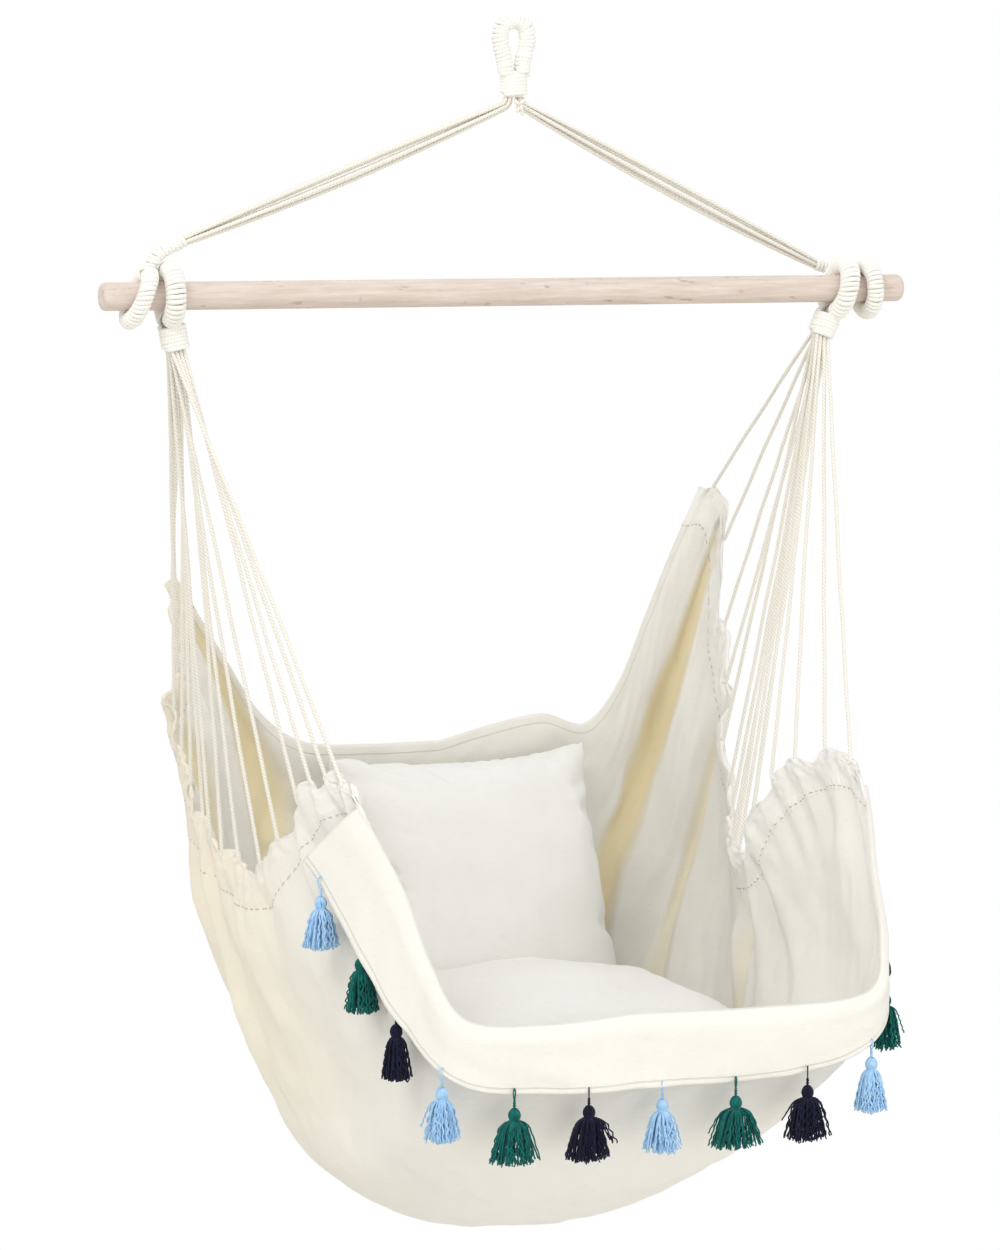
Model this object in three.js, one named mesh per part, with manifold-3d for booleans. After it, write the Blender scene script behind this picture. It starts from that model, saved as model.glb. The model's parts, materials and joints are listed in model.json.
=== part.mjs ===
// Hammock chair: a cotton seat with two loose cushions, hung by two fans of cords from a wooden
// spreader bar, which hangs by two bundles of cords from one whipped loop.
// Millimetres, +Z up, front of the seat towards -Y. The origin is the inside top of the hanging
// loop, where a hook bears.
import * as THREE from 'three';
import Module from 'manifold-3d';
import { mergeVertices } from 'three/addons/utils/BufferGeometryUtils.js';

const wasm = await Module();
wasm.setup();

// Spreader bar
const barLength = 985;
const barDiameter = 32;
const barEndRound = 6;
const barDrop = 302;
const barSides = 24;

// Clearances that keep pieces apart
const gap = 0.4;
const wrapGap = 0.5;
const neckGap = 1.1;
const eyeSlack = 0.9;

// Hanging loop and its throat
const loopRope = 19;
const loopWidth = 53;
const loopHeight = 52;
const throatWidth = 32;
const throatDepth = 20;
const throatTop = 54;
const throatBottom = 78;
const loopTurns = 20;
const throatTurns = 4;
const throatOverlapShare = 0.2;

// Whipping twine
const twine = 2.6;
const twineFaceShare = 0.55;
const wrapSteps = 8;

// Top cords, one bundle to each side
const topCord = 4.2;
const bundleCords = 5;
const bundleRadius = 3.9;
const bundleSpread = 2.3;
const bundleOffset = 7.4;
const bundleBend = 9;
const bundleSag = 2;
const bundleSwellPower = 0.8;
const bundleStationShares = [0.12, 0.3, 0.5, 0.7, 0.88, 1];

// Upper eyes, where the top cords go round the bar, measured in from the bar's ends
const upperEyeInset = 44.5;
const upperEyeRope = 20;
const neckRope = 15;
const neckTurns = 4;

// Lower eyes, where the seat's cords go round the bar
const lowerEyeInset = 80;
const lowerEyeRope = 23;
const eyeTurns = 11;
const eyeOpening = 62;
const ringSlack = 0.9;
const collarDiameter = 32;
const collarLength = 22;
const collarTurns = 4;
const stubShare = 0.5;

// How each side's eyes sit: leans in degrees; the neck's places inwards of the upper eye, behind
// the bar and above it; the collar's inwards of the lower eye and below the bar.
const hands = {
  left: {
    side: -1,
    upperLean: 22,
    neckFrom: 90,
    near: { inward: 25, behind: 0, rise: 48.3 },
    far: { inward: 52, behind: 0, rise: 61.6 },
    neckBendShare: 0.66,
    lowerLean: 0,
    collarLean: 10,
    collar: { inward: 3, drop: 37 },
  },
  right: {
    side: 1,
    upperLean: 3,
    neckFrom: 27,
    near: { inward: 22, behind: 45, rise: 22 },
    far: { inward: 46, behind: 43, rise: 28 },
    neckBendShare: 0.5,
    lowerLean: -14,
    collarLean: 24,
    collar: { inward: 15, drop: 34 },
  },
};

// Seat cords
const seatCord = 4.2;
const cordPitch = 4.75;
const cordsPerRow = 4;
const cordSides = 6;
const loopsPerSide = 8;
const runShares = [0.14, 0.5, 0.86];

// Seat cloth
const clothThickness = 2.5;
const seatHalfWidth = 350;
const seatReach = 385;
const seatDrop = 1080;
const flapDepth = 82;
const flapDepthShares = [1.16, 1.1, 1, 0.84, 0.88, 0.94, 0.93, 0.56, 0.56, 0.6, 0.72];
const flapStandOff = 9;
const flapHangShares = {
  middle: { back: 0.9, out: 0.3, down: 0.5 },
  left: { back: 0.9, out: 0.4, down: 0.9 },
  right: { back: 0.95, out: 0.15, down: 0.1 },
  from: 0.2,
  to: 0.5,
};
const clothColumns = 24;
const clothRows = 12;

// Side casings, which the seat cords run through
const casingDepth = 36;
const casingThickness = 11;
const casingSeat = 0.7;
const casingSteps = 24;
const casingSides = 6;
const scallopHeight = 7;
const runDepth = 15;

// Cushions
const seatCushion = { width: 500, length: 470, thickness: 176, x: 8, y: -55, drop: 884, tilt: 0, yaw: 3 };
const backCushion = { width: 352, length: 345, thickness: 132, x: 16, y: 166, drop: 720, tilt: 68, yaw: 5 };
const cushionCells = 12;
const cushionCrownPower = 0.42;
const cushionPullShare = 0.07;

// Tassels
const tasselCount = 13;
const tasselLoop = 24;
const tasselThread = 1.8;
const tasselHead = 14;
const tasselSkirt = 40;
const tasselLength = 60;
const eyeletInset = 8;
const eyeletHeight = 5;
const eyeletWidth = 3.4;
const tasselSides = 8;
const hemEndShares = { left: 0.25, right: 0.7 };

const barZ = -barDrop;
const barRadius = barDiameter / 2;
const half = 1 / 2;
const turn = Math.PI * 2;
const X = new THREE.Vector3(1, 0, 0);
const Y = new THREE.Vector3(0, 1, 0);
const Z = new THREE.Vector3(0, 0, 1);

const colours = {
  wood: 0xe4d3c7,
  cord: 0xe4e0d6,
  twine: 0xebe8df,
  cloth: 0xeeeae0,
  cushion: 0xedeae1,
  lightBlue: 0xa0c8f0,
  green: 0x0a6455,
  navy: 0x14142d,
};

// Geometry helpers

function vec(x, y, z) {
  return new THREE.Vector3(x, y, z);
}

function radians(degrees) {
  return degrees * Math.PI / 180;
}

// Merges a geometry's shared corners, drops its flat triangles and turns its faces outwards.
function closed(geometry) {
  const bare = new THREE.BufferGeometry();
  bare.setAttribute('position', geometry.attributes.position.clone());
  if (geometry.index) bare.setIndex(geometry.index.clone());
  const merged = mergeVertices(bare, 1e-4);
  const from = Array.from(merged.index.array);
  const kept = [];
  for (let i = 0; i < from.length; i += 3) {
    const [a, b, c] = from.slice(i, i + 3);
    if (a !== b && b !== c && c !== a) kept.push(a, b, c);
  }
  const p = merged.attributes.position;
  let volume = 0;
  const corner = (i) => new THREE.Vector3().fromBufferAttribute(p, i);
  for (let i = 0; i < kept.length; i += 3) {
    volume += corner(kept[i]).dot(corner(kept[i + 1]).cross(corner(kept[i + 2])));
  }
  if (volume < 0) kept.reverse();
  merged.setIndex(kept);
  return merged;
}

function toSolid(geometry) {
  const g = closed(geometry);
  const vertProperties = new Float32Array(g.attributes.position.array);
  const triVerts = new Uint32Array(g.index.array);
  return new wasm.Manifold(new wasm.Mesh({ numProp: 3, vertProperties, triVerts }));
}

function toGeometry(solid) {
  const mesh = solid.getMesh();
  const geometry = new THREE.BufferGeometry();
  geometry.setAttribute('position', new THREE.BufferAttribute(new Float32Array(mesh.vertProperties), 3));
  geometry.setIndex(Array.from(mesh.triVerts));
  return geometry;
}

function joined(...geometries) {
  return toGeometry(geometries.map(toSolid).reduce((a, b) => a.add(b)));
}

function cut(geometry, ...tools) {
  return toGeometry(tools.map(toSolid).reduce((a, b) => a.subtract(b), toSolid(geometry)));
}

function mirrored(geometry) {
  const copy = closed(geometry);
  copy.applyMatrix4(new THREE.Matrix4().makeScale(-1, 1, 1));
  return closed(copy);
}

// A closed skin through equal rings of points, with flat ends.
function loft(rings) {
  const count = rings[0].length;
  const points = rings.flat();
  const index = [];
  const at = (ring, k) => ring * count + ((k + count) % count);
  for (let ring = 0; ring + 1 < rings.length; ring++) {
    for (let k = 0; k < count; k++) {
      index.push(at(ring, k), at(ring, k + 1), at(ring + 1, k + 1));
      index.push(at(ring, k), at(ring + 1, k + 1), at(ring + 1, k));
    }
  }
  const last = rings.length - 1;
  for (let k = 1; k + 1 < count; k++) {
    index.push(at(0, 0), at(0, k + 1), at(0, k));
    index.push(at(last, 0), at(last, k), at(last, k + 1));
  }
  const geometry = new THREE.BufferGeometry().setFromPoints(points);
  geometry.setIndex(index);
  return closed(geometry);
}

// A curve whose stations are exactly the points given, so a tube has a ring at each of them.
class Route extends THREE.Curve {
  constructor(points) {
    super();
    this.points = points;
  }

  getPoint(t) {
    const place = t * (this.points.length - 1);
    const k = Math.min(Math.floor(place + 1e-9), this.points.length - 2);
    return this.points[k].clone().lerp(this.points[k + 1], place - k);
  }

  getPointAt(t) {
    return this.getPoint(t);
  }

  getTangentAt(t) {
    const last = this.points.length - 1;
    const k = Math.round(t * last);
    const before = this.points[k].clone().sub(this.points[Math.max(k - 1, 0)]).normalize();
    const after = this.points[Math.min(k + 1, last)].clone().sub(this.points[k]).normalize();
    return before.add(after).normalize();
  }
}

function roundShape(radius, sides) {
  const corners = [];
  for (let k = 0; k < sides; k++) {
    const angle = turn * k / sides;
    corners.push(new THREE.Vector2(Math.cos(angle), Math.sin(angle)).multiplyScalar(radius));
  }
  return new THREE.Shape(corners);
}

// A round tube through the points of a route.
function tube(points, diameter, sides) {
  const shape = roundShape(diameter * half, sides);
  const route = new Route(points);
  const options = { steps: points.length - 1, extrudePath: route, bevelEnabled: false };
  return closed(new THREE.ExtrudeGeometry(shape, options));
}

function rod(from, to, radius, sides) {
  const axis = to.clone().sub(from);
  const geometry = new THREE.CylinderGeometry(radius, radius, axis.length(), sides);
  geometry.applyQuaternion(new THREE.Quaternion().setFromUnitVectors(Y, axis.normalize()));
  geometry.translate(...from.clone().add(to).multiplyScalar(half).toArray());
  return geometry;
}

// Twine wound round a flat curve: one unbroken band that meets its next turn halfway, so it
// narrows where the bend crowds it. The section's feet lie at the inner radius and its face at
// the outer one. depthShare flattens the wound rope along the curve's plane normal.
function winding({ curve, normal, turns, outer, depthShare = 1 }) {
  const steps = turns * wrapSteps;
  const inner = outer - twine;
  const spot = (i, radius) => {
    const s = (1 + i / wrapSteps) / (turns + 2);
    const inward = normal.clone().cross(curve.getTangentAt(s)).normalize();
    const angle = turn * i / wrapSteps;
    return curve.getPointAt(s)
      .addScaledVector(inward, radius * Math.cos(angle))
      .addScaledVector(normal, radius * Math.sin(angle) * depthShare);
  };
  const corner = (i, radius, side, share) => {
    const here = spot(i, radius);
    const next = spot(i + side * wrapSteps, radius);
    return here.lerp(next, share * half * (1 - wrapGap / here.distanceTo(next)));
  };
  const rings = [];
  for (let i = 0; i <= steps; i++) {
    rings.push([
      corner(i, inner, -1, 1),
      corner(i, outer, -1, twineFaceShare),
      corner(i, outer, 1, twineFaceShare),
      corner(i, inner, 1, 1),
    ]);
  }
  return rings;
}

// The least distance between the corners of one turn and the faces' corners of the next.
function leastSelfGap(rings) {
  let least = Infinity;
  for (let i = 0; i + wrapSteps < rings.length; i++) {
    for (let k = i + wrapSteps - 1; k <= Math.min(i + wrapSteps + 1, rings.length - 1); k++) {
      for (const a of rings[i]) {
        for (const b of rings[k]) least = Math.min(least, a.distanceTo(b));
      }
    }
  }
  return least;
}

const windingGaps = [];

function wound(name, options) {
  const rings = winding(options);
  windingGaps.push([name, leastSelfGap(rings)]);
  return loft(rings);
}

// The radius of a plain core that a winding of the given outer radius clears.
function coreRadius(outer) {
  return (outer - twine) * Math.cos(Math.PI / wrapSteps) - gap;
}

// Pieces

function piece(name, geometry, colour, roughness) {
  const material = new THREE.MeshStandardMaterial({ color: colour, roughness, metalness: 0 });
  const mesh = new THREE.Mesh(closed(geometry), material);
  mesh.geometry.computeVertexNormals();
  mesh.name = name;
  return mesh;
}

// Spreader bar

function spreaderBar() {
  const profile = [new THREE.Vector2(0, -barLength * half)];
  const corner = (end) => {
    for (let k = 0; k <= 3; k++) {
      const angle = turn / 4 * (end < 0 ? k : 3 - k) / 3;
      const r = barRadius - barEndRound * (1 - Math.sin(angle));
      const y = end * (barLength * half - barEndRound * (1 - Math.cos(angle)));
      profile.push(new THREE.Vector2(r, y));
    }
  };
  corner(-1);
  corner(1);
  profile.push(new THREE.Vector2(0, barLength * half));
  const geometry = new THREE.LatheGeometry(profile, barSides);
  geometry.rotateZ(-turn / 4);
  geometry.translate(0, 0, barZ);
  return geometry;
}

// Hanging loop

const loopRadius = (loopWidth - loopRope) * half;
const loopTopZ = loopRope * half;
const loopLegX = (loopRope + wrapGap + gap) * half;

// Places on one leg: x as a share of the leg's own, or of the loop's radius, and z of its height.
const legShares = { touching: [1.12, 0.72], parting: [0.9, 0.42] };

function loopCurve() {
  const arcZ = loopTopZ - loopRadius;
  const { touching, parting } = legShares;
  const side = [
    [loopLegX, -loopHeight],
    [loopLegX * touching[0], -loopHeight * touching[1]],
    [loopRadius * parting[0], -loopHeight * parting[1]],
    [loopRadius, arcZ],
    [loopRadius * Math.SQRT1_2, arcZ + loopRadius * Math.SQRT1_2],
  ];
  const right = side.map(([x, z]) => vec(x, 0, z));
  const left = side.map(([x, z]) => vec(-x, 0, z)).reverse();
  return new THREE.CatmullRomCurve3([...right, vec(0, 0, loopTopZ), ...left], false, 'centripetal');
}

function throatCurve() {
  return new THREE.LineCurve3(vec(0, 0, -throatTop), vec(0, 0, -throatBottom));
}

function hangingLoop() {
  const core = tube(loopCurve().getSpacedPoints(loopTurns), coreRadius(loopRope * half) * 2 - gap, 8);
  const start = loopHeight - loopRope * throatOverlapShare;
  const radius = coreRadius(throatWidth * half);
  const throat = new THREE.CylinderGeometry(radius, radius, throatBottom - start, 12);
  throat.rotateX(turn / 4);
  throat.scale(1, throatDepth / throatWidth, 1);
  throat.translate(0, 0, -(throatBottom + start) * half);
  return joined(core, throat);
}

// Top cords

const throatExit = -throatBottom - gap - topCord * half;

// Where a side's neck begins and ends, for the right-hand side of the bar.
function neckPlace({ inward, behind, rise }) {
  return vec(upperEyeX - inward, behind, barZ + rise);
}

// A cord's place in its bundle stays the same all the way: a is across the bend, b along the eye.
function topCordRoute({ side, far }, k) {
  const neckEnd = neckPlace(far);
  const fall = -neckEnd.z + throatExit - bundleBend * half;
  const topSlope = Math.atan2(fall, neckEnd.x - bundleOffset - bundleBend * half);
  const angle = turn * (k + half) / bundleCords;
  const a = bundleRadius * Math.cos(angle);
  const b = bundleRadius * Math.sin(angle);
  const swing = turn / 4 - topSlope;
  const onBend = (share) => {
    const reach = bundleBend - a;
    const x = bundleOffset + bundleBend - reach * Math.cos(swing * share);
    return vec(side * x, b, throatExit - reach * Math.sin(swing * share));
  };
  const up = vec(side * Math.sin(topSlope), 0, Math.cos(topSlope));
  const start = onBend(1).addScaledVector(up, -a).addScaledVector(Y, -b);
  const end = vec(side * (neckEnd.x - neckGap), neckEnd.y, neckEnd.z + gap * half);
  const points = [vec(side * (bundleOffset + a), b, -throatBottom - gap), onBend(0), onBend(half), onBend(1)];
  for (const share of bundleStationShares) {
    const swell = Math.sin(Math.PI * share);
    const spread = 1 + (bundleSpread - 1) * swell ** bundleSwellPower;
    const p = start.clone().lerp(end, share);
    p.z -= bundleSag * swell;
    points.push(p.addScaledVector(up, a * spread).addScaledVector(Y, b * spread));
  }
  return points;
}

// Eyes

const upperEyeX = barLength * half - upperEyeInset;
const lowerEyeX = barLength * half - lowerEyeInset;
const upperRingRadius = barRadius + eyeSlack + upperEyeRope * half;
const lowerRingRadius = barRadius + eyeSlack + lowerEyeRope * half;

// Leans a ring round the bar towards the rope that pulls it.
function lean(geometry, degrees, centreX) {
  const shear = Math.tan(radians(degrees));
  const m = new THREE.Matrix4().set(1, 0, -shear, centreX, 0, 1, 0, 0, 0, 0, 1, barZ, 0, 0, 0, 1);
  geometry.applyMatrix4(m);
  return geometry;
}

// The stretch of a ring round the X axis that leaves its neck free, at from degrees up from behind.
function ringCurve(radius, from) {
  const opening = radians(eyeOpening) * half;
  const start = radians(from);
  const curve = new THREE.Curve();
  curve.getPoint = (t) => {
    const angle = start + opening + (turn - 2 * opening) * t;
    return vec(0, radius * Math.cos(angle), radius * Math.sin(angle));
  };
  return curve;
}

function ringCore(radius, rope) {
  const torus = new THREE.TorusGeometry(radius, coreRadius(rope * half) - ringSlack, 6, 18);
  return torus.rotateY(turn / 4);
}

function upperEye({ upperLean, neckFrom, near, far, neckBendShare }) {
  const ring = lean(ringCore(upperRingRadius, upperEyeRope), upperLean, upperEyeX);
  const rise = upperRingRadius * Math.sin(radians(neckFrom));
  const behind = upperRingRadius * Math.cos(radians(neckFrom));
  const root = vec(upperEyeX - rise * Math.tan(radians(upperLean)), behind, barZ + rise);
  const bend = neckPlace(near).lerp(root, neckBendShare).addScaledVector(Z, twine);
  const neck = [neckPlace(far), neckPlace(near), bend, root];
  return joined(ring, tube(neck, coreRadius(neckRope * half) * 2, 8));
}

function upperWhipping({ upperLean, neckFrom }, name) {
  const rings = winding({
    curve: ringCurve(upperRingRadius, neckFrom), normal: X, turns: eyeTurns, outer: upperEyeRope * half,
  });
  windingGaps.push([name, leastSelfGap(rings)]);
  return lean(loft(rings), upperLean, upperEyeX);
}

function neckWhipping({ near, far }, name) {
  const curve = new THREE.LineCurve3(neckPlace(far), neckPlace(near));
  const run = neckPlace(near).sub(neckPlace(far)).normalize();
  const normal = Y.clone().addScaledVector(run, -run.y).normalize();
  return wound(name, { curve, normal, turns: neckTurns, outer: neckRope * half });
}

function collarLine({ collarLean, collar }) {
  const axis = vec(-Math.sin(radians(collarLean)), 0, -Math.cos(radians(collarLean)));
  const top = vec(lowerEyeX - collar.inward, 0, barZ - collar.drop);
  const stubEnd = top.clone().addScaledVector(axis, collarLength * stubShare);
  return { axis, top, stubEnd };
}

function lowerEye(hand) {
  const { axis, top, stubEnd } = collarLine(hand);
  const ring = lean(ringCore(lowerRingRadius, lowerEyeRope), hand.lowerLean, lowerEyeX);
  const from = top.clone().addScaledVector(axis, -twine);
  return joined(ring, rod(from, stubEnd, coreRadius(collarDiameter * half), 12));
}

function lowerWhipping({ lowerLean }, name) {
  const rings = winding({
    curve: ringCurve(lowerRingRadius, -90), normal: X, turns: eyeTurns, outer: lowerEyeRope * half,
  });
  windingGaps.push([name, leastSelfGap(rings)]);
  return lean(loft(rings), lowerLean, lowerEyeX);
}

function collarWhipping(hand, name) {
  const { axis, top } = collarLine(hand);
  const end = top.clone().addScaledVector(axis, collarLength);
  const curve = new THREE.LineCurve3(top, end);
  return wound(name, { curve, normal: Y, turns: collarTurns, outer: collarDiameter * half });
}

// Seat cloth
// Places are shares: x of seatHalfWidth, y of seatReach, drop below the bar of seatDrop.

const edgeShares = {
  left: [
    [0.00, 0.990, 0.610, 0.311],
    [0.22, 1.005, 0.520, 0.455],
    [0.40, 0.980, 0.360, 0.556],
    [0.54, 0.950, 0.156, 0.590],
    [0.67, 0.910, -0.120, 0.590],
    [0.75, 0.895, -0.290, 0.535],
    [0.84, 0.870, -0.430, 0.490],
    [0.92, 0.850, -0.560, 0.476],
    [1.00, 0.830, -0.662, 0.488],
  ],
  right: [
    [0.00, 1.015, 0.622, 0.243],
    [0.14, 1.030, 0.560, 0.368],
    [0.30, 0.980, 0.430, 0.530],
    [0.45, 0.914, 0.260, 0.610],
    [0.58, 0.857, 0.110, 0.620],
    [0.67, 0.830, -0.030, 0.600],
    [0.75, 0.830, -0.150, 0.540],
    [0.84, 0.870, -0.310, 0.500],
    [0.92, 0.912, -0.490, 0.482],
    [1.00, 0.925, -0.662, 0.494],
  ],
};
const middleShares = [
  [0.00, 0, 0.688, 0.515],
  [0.12, 0, 0.753, 0.646],
  [0.30, 0, 0.636, 0.832],
  [0.45, 0, 0.312, 0.961],
  [0.60, 0, -0.182, 1.000],
  [0.76, 0, -0.662, 0.933],
  [0.88, 0, -0.922, 0.822],
  [1.00, 0, -1.000, 0.718],
];
// Sections from the edge to the middle: width as a share of the edge's, depth as a share of the drop.
const backShares = {
  left: [[1, 0], [0.89, 0.25], [0.78, 0.52], [0.66, 0.8], [0.5, 0.97], [0.25, 1], [0, 1]],
  right: [[1, 0], [0.9, 0.25], [0.8, 0.52], [0.7, 0.79], [0.57, 0.955], [0.4, 0.91], [0.22, 0.94], [0, 1]],
};
const bellyShares = {
  left: [[1, 0], [0.98, 0.22], [0.9, 0.45], [0.82, 0.66], [0.71, 0.85], [0.4, 0.975], [0, 1]],
  right: [[1, 0], [1.03, 0.22], [0.98, 0.45], [0.87, 0.66], [0.67, 0.85], [0.35, 0.965], [0, 1]],
};
const frontShares = {
  left: [[1, 0], [0.92, 0.21], [0.84, 0.45], [0.78, 0.74], [0.67, 0.98], [0.34, 1.02], [0, 1]],
  right: [[1, 0], [0.99, 0.21], [0.965, 0.45], [0.95, 0.74], [0.86, 0.98], [0.46, 1.01], [0, 1]],
};
const foldDepthShare = 0.034;
const foldSideShares = { from: [0.3, 0.6], to: [0.74, 0.86] };
const foldEndShares = { from: [0.02, 0.14], to: [0.86, 0.97] };
const foldTurnShares = { down: 2.7, across: 1.3 };
const sectionShares = { backEnd: 0.38, frontStart: 0.66 };
const depthPower = 0.8;

// A smooth value through rows of numbers, at t from 0 to 1.
function through(rows, t) {
  const last = rows.length - 1;
  const place = Math.min(Math.max(t, 0), 1) * last;
  const k = Math.min(Math.floor(place), last - 1);
  const f = place - k;
  return rows[0].map((_, column) => {
    const b = rows[k][column];
    const c = rows[k + 1][column];
    const a = k > 0 ? rows[k - 1][column] : 2 * b - c;
    const d = k + 2 <= last ? rows[k + 2][column] : 2 * c - b;
    const cubic = 3 * b - a - 3 * c + d;
    return half * (2 * b + (c - a) * f + (2 * a - 5 * b + 4 * c - d) * f * f + cubic * f * f * f);
  });
}

function along(table, v) {
  let k = 0;
  while (k < table.length - 2 && v > table[k + 1][0]) k++;
  const share = (v - table[k][0]) / (table[k + 1][0] - table[k][0]);
  const [, x, y, drop] = through(table, (k + share) / (table.length - 1));
  return vec(x * seatHalfWidth, y * seatReach, barZ - drop * seatDrop);
}

const smooth = THREE.MathUtils.smoothstep;

// The cloth's middle surface: u from -1 at the left edge to 1 at the right, v from back to front.
function clothPoint(v, u) {
  const hand = u < 0 ? 'left' : 'right';
  const edge = along(edgeShares[hand], v);
  const middle = along(middleShares, v);
  const t = 1 - Math.abs(u);
  const back = through(backShares[hand], t);
  const belly = through(bellyShares[hand], t);
  const front = through(frontShares[hand], t);
  const backWeight = 1 - smooth(v, 0, sectionShares.backEnd);
  const frontWeight = smooth(v, sectionShares.frontStart, 1);
  const bellyWeight = 1 - backWeight - frontWeight;
  const mix = (k) => back[k] * backWeight + front[k] * frontWeight + belly[k] * bellyWeight;
  const depth = Math.max(mix(1), 0);
  const y = edge.y + (middle.y - edge.y) * depth ** depthPower;
  const z = edge.z + (middle.z - edge.z) * depth;
  return vec(Math.sign(u) * edge.x * mix(0), y, z);
}

function clothNormal(v, u) {
  const e = 1e-3;
  const across = clothPoint(v, Math.min(u + e, 1)).sub(clothPoint(v, Math.max(u - e, -1)));
  const down = clothPoint(Math.min(v + e, 1), u).sub(clothPoint(Math.max(v - e, 0), u));
  return across.cross(down).normalize();
}

// A share that rises over the first stretch, stays at 1 and falls over the second.
function plateau(x, { from, to }) {
  return smooth(x, ...from) * (1 - smooth(x, ...to));
}

// How deep the long soft folds are that run down from the gathered sides.
function foldReach(v, u) {
  return seatHalfWidth * foldDepthShare * plateau(Math.abs(u), foldSideShares) * plateau(v, foldEndShares);
}

function foldShift(v, u) {
  return foldReach(v, u) * Math.cos(turn * (foldTurnShares.down * v + foldTurnShares.across * Math.abs(u)));
}

// One row of the cloth: even steps across, from casing to casing.
function clothRow(v) {
  const samples = 96;
  const line = [];
  for (let k = 0; k <= samples; k++) line.push(clothPoint(v, 2 * k / samples - 1));
  const run = [0];
  for (let k = 1; k <= samples; k++) run.push(run[k - 1] + line[k].distanceTo(line[k - 1]));
  const inset = casingDepth + casingSeat;
  const row = [];
  for (let i = 0; i <= clothColumns; i++) {
    const target = inset + (run[samples] - 2 * inset) * i / clothColumns;
    let k = 1;
    while (k < samples && run[k] < target) k++;
    const share = (target - run[k - 1]) / (run[k] - run[k - 1]);
    const u = 2 * (k - 1 + share) / samples - 1;
    row.push({ u, point: line[k - 1].clone().lerp(line[k], share) });
  }
  return row;
}

function shiftedRow(v, shift) {
  return clothRow(v).map(({ u, point }) => point.addScaledVector(clothNormal(v, u), shift(v, u)));
}

// The way the flap hangs from a place on the rim: back along the outside of the seat, and down.
function flapFrame(u) {
  const e = 1e-2;
  const { middle, left, right, from, to } = flapHangShares;
  const side = u < 0 ? left : right;
  const weight = smooth(Math.abs(u), from, to);
  const share = (way) => middle[way] + (side[way] - middle[way]) * weight;
  const out = clothNormal(1, u);
  const down = clothPoint(1 - e, u).sub(clothPoint(1, u)).setLength(share('back'))
    .addScaledVector(out, share('out'))
    .addScaledVector(Z, -share('down'))
    .normalize();
  return { out, down };
}

function flapRow(share) {
  return clothRow(1).map(({ u, point }) => {
    const { out, down } = flapFrame(u);
    const [depthShare] = through(flapDepthShares.map((value) => [value]), (u + 1) * half);
    const stand = flapStandOff * Math.sin(Math.min(share * 4, 1) * turn / 4);
    return point.addScaledVector(down, flapDepth * depthShare * share).addScaledVector(out, stand);
  });
}

const rowShares = Array.from({ length: clothRows + 1 }, (_, k) => k / clothRows);
const flapShares = [0.1, 0.4, 0.7, 1];

function clothGrid() {
  return [...rowShares.map((v) => shiftedRow(v, foldShift)), ...flapShares.map(flapRow)];
}

// A closed sheet over a grid of points, between two offsets along its normal.
function sheet(grid, inside, outside) {
  const rows = grid.length;
  const columns = grid[0].length;
  const faces = [inside, outside].map((offset) => grid.flatMap((row, j) => row.map((point, i) => {
    const across = row[Math.min(i + 1, columns - 1)].clone().sub(row[Math.max(i - 1, 0)]);
    const down = grid[Math.min(j + 1, rows - 1)][i].clone().sub(grid[Math.max(j - 1, 0)][i]);
    return point.clone().addScaledVector(across.cross(down).normalize(), offset);
  })));
  const index = [];
  const at = (face, j, i) => face * rows * columns + j * columns + i;
  const quad = (a, b, c, d) => index.push(a, b, c, a, c, d);
  for (let j = 0; j + 1 < rows; j++) {
    for (let i = 0; i + 1 < columns; i++) {
      quad(at(1, j, i), at(1, j, i + 1), at(1, j + 1, i + 1), at(1, j + 1, i));
      quad(at(0, j, i), at(0, j + 1, i), at(0, j + 1, i + 1), at(0, j, i + 1));
    }
    quad(at(0, j, 0), at(1, j, 0), at(1, j + 1, 0), at(0, j + 1, 0));
    const last = columns - 1;
    quad(at(0, j, last), at(0, j + 1, last), at(1, j + 1, last), at(1, j, last));
  }
  for (let i = 0; i + 1 < columns; i++) {
    const last = rows - 1;
    quad(at(0, 0, i), at(0, 0, i + 1), at(1, 0, i + 1), at(1, 0, i));
    quad(at(0, last, i), at(1, last, i), at(1, last, i + 1), at(0, last, i + 1));
  }
  const geometry = new THREE.BufferGeometry().setFromPoints(faces.flat());
  geometry.setIndex(index);
  return closed(geometry);
}

// Where each tassel's thread goes through the flap, evenly along the hem.
function eyelets() {
  const hem = flapRow(1);
  const above = flapRow(1 - eyeletInset / flapDepth);
  const run = [0];
  for (let k = 1; k < hem.length; k++) run.push(run[k - 1] + hem[k].distanceTo(hem[k - 1]));
  const places = [];
  for (let k = 0; k < tasselCount; k++) {
    const { left, right } = hemEndShares;
    const target = run[run.length - 1] * (k + left) / (tasselCount - 1 + left + right);
    let i = 1;
    while (i < run.length - 1 && run[i] < target) i++;
    const share = (target - run[i - 1]) / (run[i] - run[i - 1]);
    const point = above[i - 1].clone().lerp(above[i], share);
    const edge = hem[i - 1].clone().lerp(hem[i], share);
    const across = hem[i].clone().sub(hem[i - 1]).normalize();
    const up = point.clone().sub(edge).normalize();
    const out = across.cross(up).normalize();
    if (out.y * point.y + out.x * point.x < 0) out.negate();
    places.push({ point, up, out });
  }
  return places;
}

function eyeletTool({ point, up, out }) {
  const box = new THREE.BoxGeometry(eyeletWidth, clothThickness * 4, eyeletHeight);
  const side = out.clone().cross(up).normalize();
  box.applyMatrix4(new THREE.Matrix4().makeBasis(side, out, side.clone().cross(out)));
  box.translate(...point.toArray());
  return box;
}

function seatCloth() {
  const cloth = sheet(clothGrid(), -clothThickness * half, clothThickness * half);
  return cut(cloth, ...eyelets().map(eyeletTool));
}

// Side casings

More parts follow.
